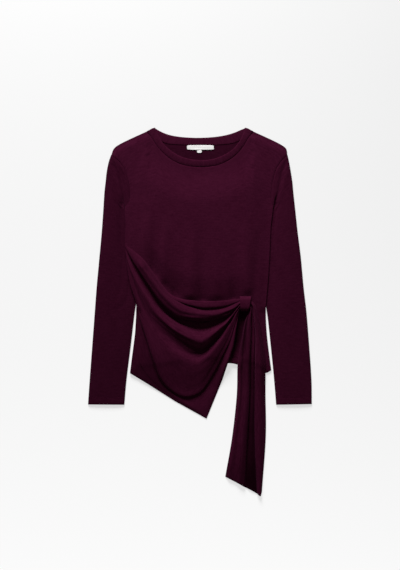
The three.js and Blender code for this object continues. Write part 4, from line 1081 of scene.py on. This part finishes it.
# ---- Tail ------------------------------------------------------------------------------------------
# The free end of the draped panel. It comes out of the loop in pleats, which open out lengthwise down to
# a slanting cut edge with a turned hem.

# How much darker its cloth is drawn: painted shade all over it, a darker band between its middle folds, painted
# shade along its middle and at its end, and a painted shadow under the loop.
TAIL_PAINTED_SHADE = {"panel": 0.15, "turned": 0.95, "middle": 0.6, "end": 0.45, "pocket": 1.2}
TAIL_GRID = {"rows": 89, "columns": 161}
TAIL_LEVELS = [-20, -60, -120, -200, -300]
# Lengthwise folds from the inner edge to the outer one: the y at which each starts in the loop, where it comes
# out of it, its x at each of the levels above, its end on the cut edge, and how high it stands.
TAIL_FOLDS = [
    {"in": 6, "out": (118.2, 3.5), "x": (108, 100.5, 90.6, 88.2, 77.2), "end": (61, -395), "rise": 0.4},
    {"in": 8, "out": (119.2, 5.5), "x": (110.5, 103.6, 95.5, 94.2, 83.6), "end": (69, -399), "rise": 7},
    {"in": 10.5, "out": (120, 7.2), "x": (112.5, 108.3, 103.2, 101.5, 92), "end": (82.5, -406), "rise": 6},
    {"in": 13, "out": (120.8, 9), "x": (117, 114, 113, 110.5, 104), "end": (96, -413), "rise": 11},
    {"in": 15, "out": (121.6, 10.6), "x": (121.5, 121, 118.5, 117.5, 111.5), "end": (105.5, -418.5), "rise": 8.5},
    {"in": 16, "out": (122, 11.3), "x": (122.5, 122.5, 120, 119.4, 114.3), "end": (107.5, -419.6), "rise": 3.5},
    {"in": 17, "out": (122.3, 12), "x": (123.5, 123, 120.5, 120, 115), "end": (110, -420.8), "rise": 0.9},
    {"in": 19, "out": (122.9, 13.3), "x": (127.5, 130, 127, 126, 123.5), "end": (122.5, -427), "rise": 3},
    {"in": 21, "out": (123.5, 14.6), "x": (129, 133, 132, 131.5, 131), "end": (135.5, -434.5), "rise": 0.8},
    {"in": 23, "out": (124.3, 16.2), "x": (130.5, 135, 133.8, 132.8, 132.6), "end": (137.5, -435.8), "rise": 8},
    {"in": 26, "out": (126, 19), "x": (134, 140, 144, 145, 144.5), "end": (144.8, -441.4), "rise": 11},
    {"in": 30, "out": (128.5, 22), "x": (142, 148, 156, 157, 157.6), "end": (148.4, -432), "rise": 0.8},
]
TAIL_START_X = 104.5
TAIL_SWELL = [0.3, 0.5, 0.9, 1, 1, 1, 0.95, 0.5]
TAIL_HEAP = [1, 0.75, 0.2, 0, 0, 0, 0, 0]
TAIL_CREASES = [
    {"width": 2.6, "height": 1.0, "line": [(112, -6), (104, -60), (99, -130), (97, -210)]},
    {"width": 3, "height": -0.8, "line": [(118, -30), (111, -120), (106, -200), (98, -300)]},
    {"width": 2.6, "height": -0.9, "line": [(134, -8), (139, -70), (141, -160)]},
    {"width": 3, "height": 0.7, "line": [(140, -40), (149, -130), (150, -230)]},
]


def tail_line(row):
    """One row of the table as a function of the share of its length."""
    places = [(TAIL_START_X, row["in"]), row["out"], *zip(row["x"], TAIL_LEVELS), row["end"]]
    return lambda u: np.column_stack([through(places, u), np.full(len(u), row["rise"])])


tail_x, tail_y, tail_height, _, tail_v = folded_cloth(
    [tail_line(row) for row in TAIL_FOLDS], TAIL_GRID, TAIL_SWELL, TAIL_HEAP, heap_round=1)
tail_height += creases(tail_x, tail_y, TAIL_CREASES)
tail_upper = np.dstack([tail_x, tail_y, tail_height])
# Painted shade on the tail; the part named turned is a darker band between the middle folds, below the loop.
inside_edge = 1 - smooth(0.76, 0.82, tail_v)
tail_painted_shade = (
    TAIL_PAINTED_SHADE["panel"]
    + TAIL_PAINTED_SHADE["turned"] * smooth(0.5, 0.56, tail_v) * inside_edge * smooth(-90, -190, tail_y)
    + TAIL_PAINTED_SHADE["middle"] * smooth(0.2, 0.3, tail_v) * inside_edge * smooth(-190, -290, tail_y)
    + TAIL_PAINTED_SHADE["end"] * (1 - smooth(0.8, 0.86, tail_v)) * smooth(-320, -400, tail_y)
    + TAIL_PAINTED_SHADE["pocket"] * (1 - smooth(0.2, 0.28, tail_v)) * smooth(-115, -70, tail_y))
tail_piece = cloth_sheet("tail_panel", tail_upper, JERSEY_WALL, JERSEY, shade=tail_painted_shade)
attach(tail_piece, "root")
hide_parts("tail")
tail_thread = stitches("tail_edge_stitches", *(
    beside(tail_upper, edge, NARROW_HEM, keep=keep)
    for edge, keep in (("bottom", (0.08, 0.985)), ("top", (0.08, 0.985)), ("right", (0.04, 0.96)))))


# ---- Loop ------------------------------------------------------------------------------------------
# A short strip of doubled jersey, sewn to the front at its upper end. It wraps over the gathered panel and
# is tucked back under it.

LOOP = {"left": 95.5, "right": 122, "low_left": 97.5, "low_right": 115.2, "wall": 1.6}
LOOP_ROWS = (5.5, 7.5)         # its two needle rows, from the upper end
LOOP_TAPER = (0.1875, 0.9375)  # share of its path from which, and to which, it narrows
LOOP_GRID = {"rows": 49, "columns": 41}
# Its inner face in side view: y, and height above the front.
LOOP_PATH = [
    (36.2, 0.4), (34.8, 4), (32.6, 8.2), (27.5, 10.6), (18, 11.4), (9.5, 10.6), (4.8, 7.6), (3.2, 4.4),
    (4.4, 1.2),
]
loop_v = np.linspace(0, 1, LOOP_GRID["rows"])
loop_path = through(LOOP_PATH, loop_v)[:, :, None]
loop_low = smooth(*LOOP_TAPER, loop_v)
loop_from = mix(LOOP["left"], LOOP["low_left"], loop_low) + LOOP["wall"] / 2
loop_to = mix(LOOP["right"], LOOP["low_right"], loop_low) - LOOP["wall"] / 2
loop_x = mix(loop_from[:, None], loop_to[:, None], np.linspace(0, 1, LOOP_GRID["columns"]))
loop_level = float(front_top(np.array((LOOP["left"] + LOOP["right"]) / 2), np.array(LOOP_PATH[0][0])))
loop_inner = np.dstack(np.broadcast_arrays(loop_x, loop_path[:, 0], loop_level + loop_path[:, 1]))[::-1]
loop_outer = loop_inner + face_normals(loop_inner) * LOOP["wall"]
loop_piece = cloth_sheet("carrier_loop", loop_outer, LOOP["wall"], JERSEY, wrong_side="none")
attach(loop_piece, "root")
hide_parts("loop")
loop_thread = stitches("loop_stitches", *(
    beside(loop_outer, "top", row, keep=(0.04, 0.96)) for row in LOOP_ROWS))


# ---- Floor, light and camera -----------------------------------------------------------------------
# A plain pale floor, a large soft light from above the neck, and a long lens straight above.

FLOOR = {"half": 9, "level": -0.0004, "tone": (0.36, 0.36, 0.36, 1)}
# It glows more towards the hem, where the lamp reaches less.
FLOOR_GLOW = {"strength": 0.56, "middle": 1.02, "fall": 0.45, "least": 0.66, "most": 1.34}
pale = Finish("pale_floor")
floor_place = pale.node("ShaderNodeTexCoord", out=3)
floor_y = pale.node("ShaderNodeSeparateXYZ", None, floor_place).output(1)
glow_share = pale.node("ShaderNodeClamp", None, FLOOR_GLOW["middle"] - floor_y * FLOOR_GLOW["fall"],
                       FLOOR_GLOW["least"], FLOOR_GLOW["most"])
glow = pale.node("ShaderNodeVectorMath", {"operation": "SCALE"}, (1, 1, 1), Scale=glow_share)
pale_surface = pale.node("ShaderNodeBsdfPrincipled", None, FLOOR["tone"], Roughness=0.9,
                         Specular_IOR_Level=0.0, Emission_Color=glow, Emission_Strength=FLOOR_GLOW["strength"])
pale.node("ShaderNodeOutputMaterial", None, pale_surface)
floor_mesh = bpy.data.meshes.new("floor")
floor_mesh.from_pydata([(x * FLOOR["half"], y * FLOOR["half"], FLOOR["level"])
                        for x, y in ((-1, -1), (1, -1), (1, 1), (-1, 1))], [], [(0, 1, 2, 3)])
floor_mesh.materials.append(pale.material)
floor = bpy.data.objects.new("floor", floor_mesh)
bpy.context.scene.collection.objects.link(floor)

world = bpy.data.worlds.new("studio")
world.use_nodes = True
world.node_tree.nodes["Background"].inputs["Color"].default_value = (1, 1, 1, 1)
world.node_tree.nodes["Background"].inputs["Strength"].default_value = 0.15
bpy.context.scene.world = world

KEY = {"power": 212.0, "size": 1.2, "at": (-0.5, 2.95, 1.35), "aim": (0.0, 0.05, 0.0)}
key = bpy.data.lights.new("key", "AREA")
key.shape = "SQUARE"
key.size = KEY["size"]
key.energy = KEY["power"]
key_lamp = bpy.data.objects.new("key", key)
key_lamp.location = KEY["at"]
key_lamp.rotation_euler = (Vector(KEY["at"]) - Vector(KEY["aim"])).to_track_quat("Z", "Y").to_euler()
bpy.context.scene.collection.objects.link(key_lamp)

VIEW = {"centre": (0.0, 0.0648), "height": 1.368, "distance": 6.0, "film": 24.0}
lens = bpy.data.cameras.new("overhead")
lens.sensor_fit = "VERTICAL"
lens.sensor_height = VIEW["film"]
lens.lens = VIEW["film"] * VIEW["distance"] / VIEW["height"]
lens.clip_end = 40
camera = bpy.data.objects.new("overhead", lens)
camera.location = (*VIEW["centre"], VIEW["distance"])
bpy.context.scene.collection.objects.link(camera)
bpy.context.scene.camera = camera
bpy.context.scene.view_settings.view_transform = "Standard"
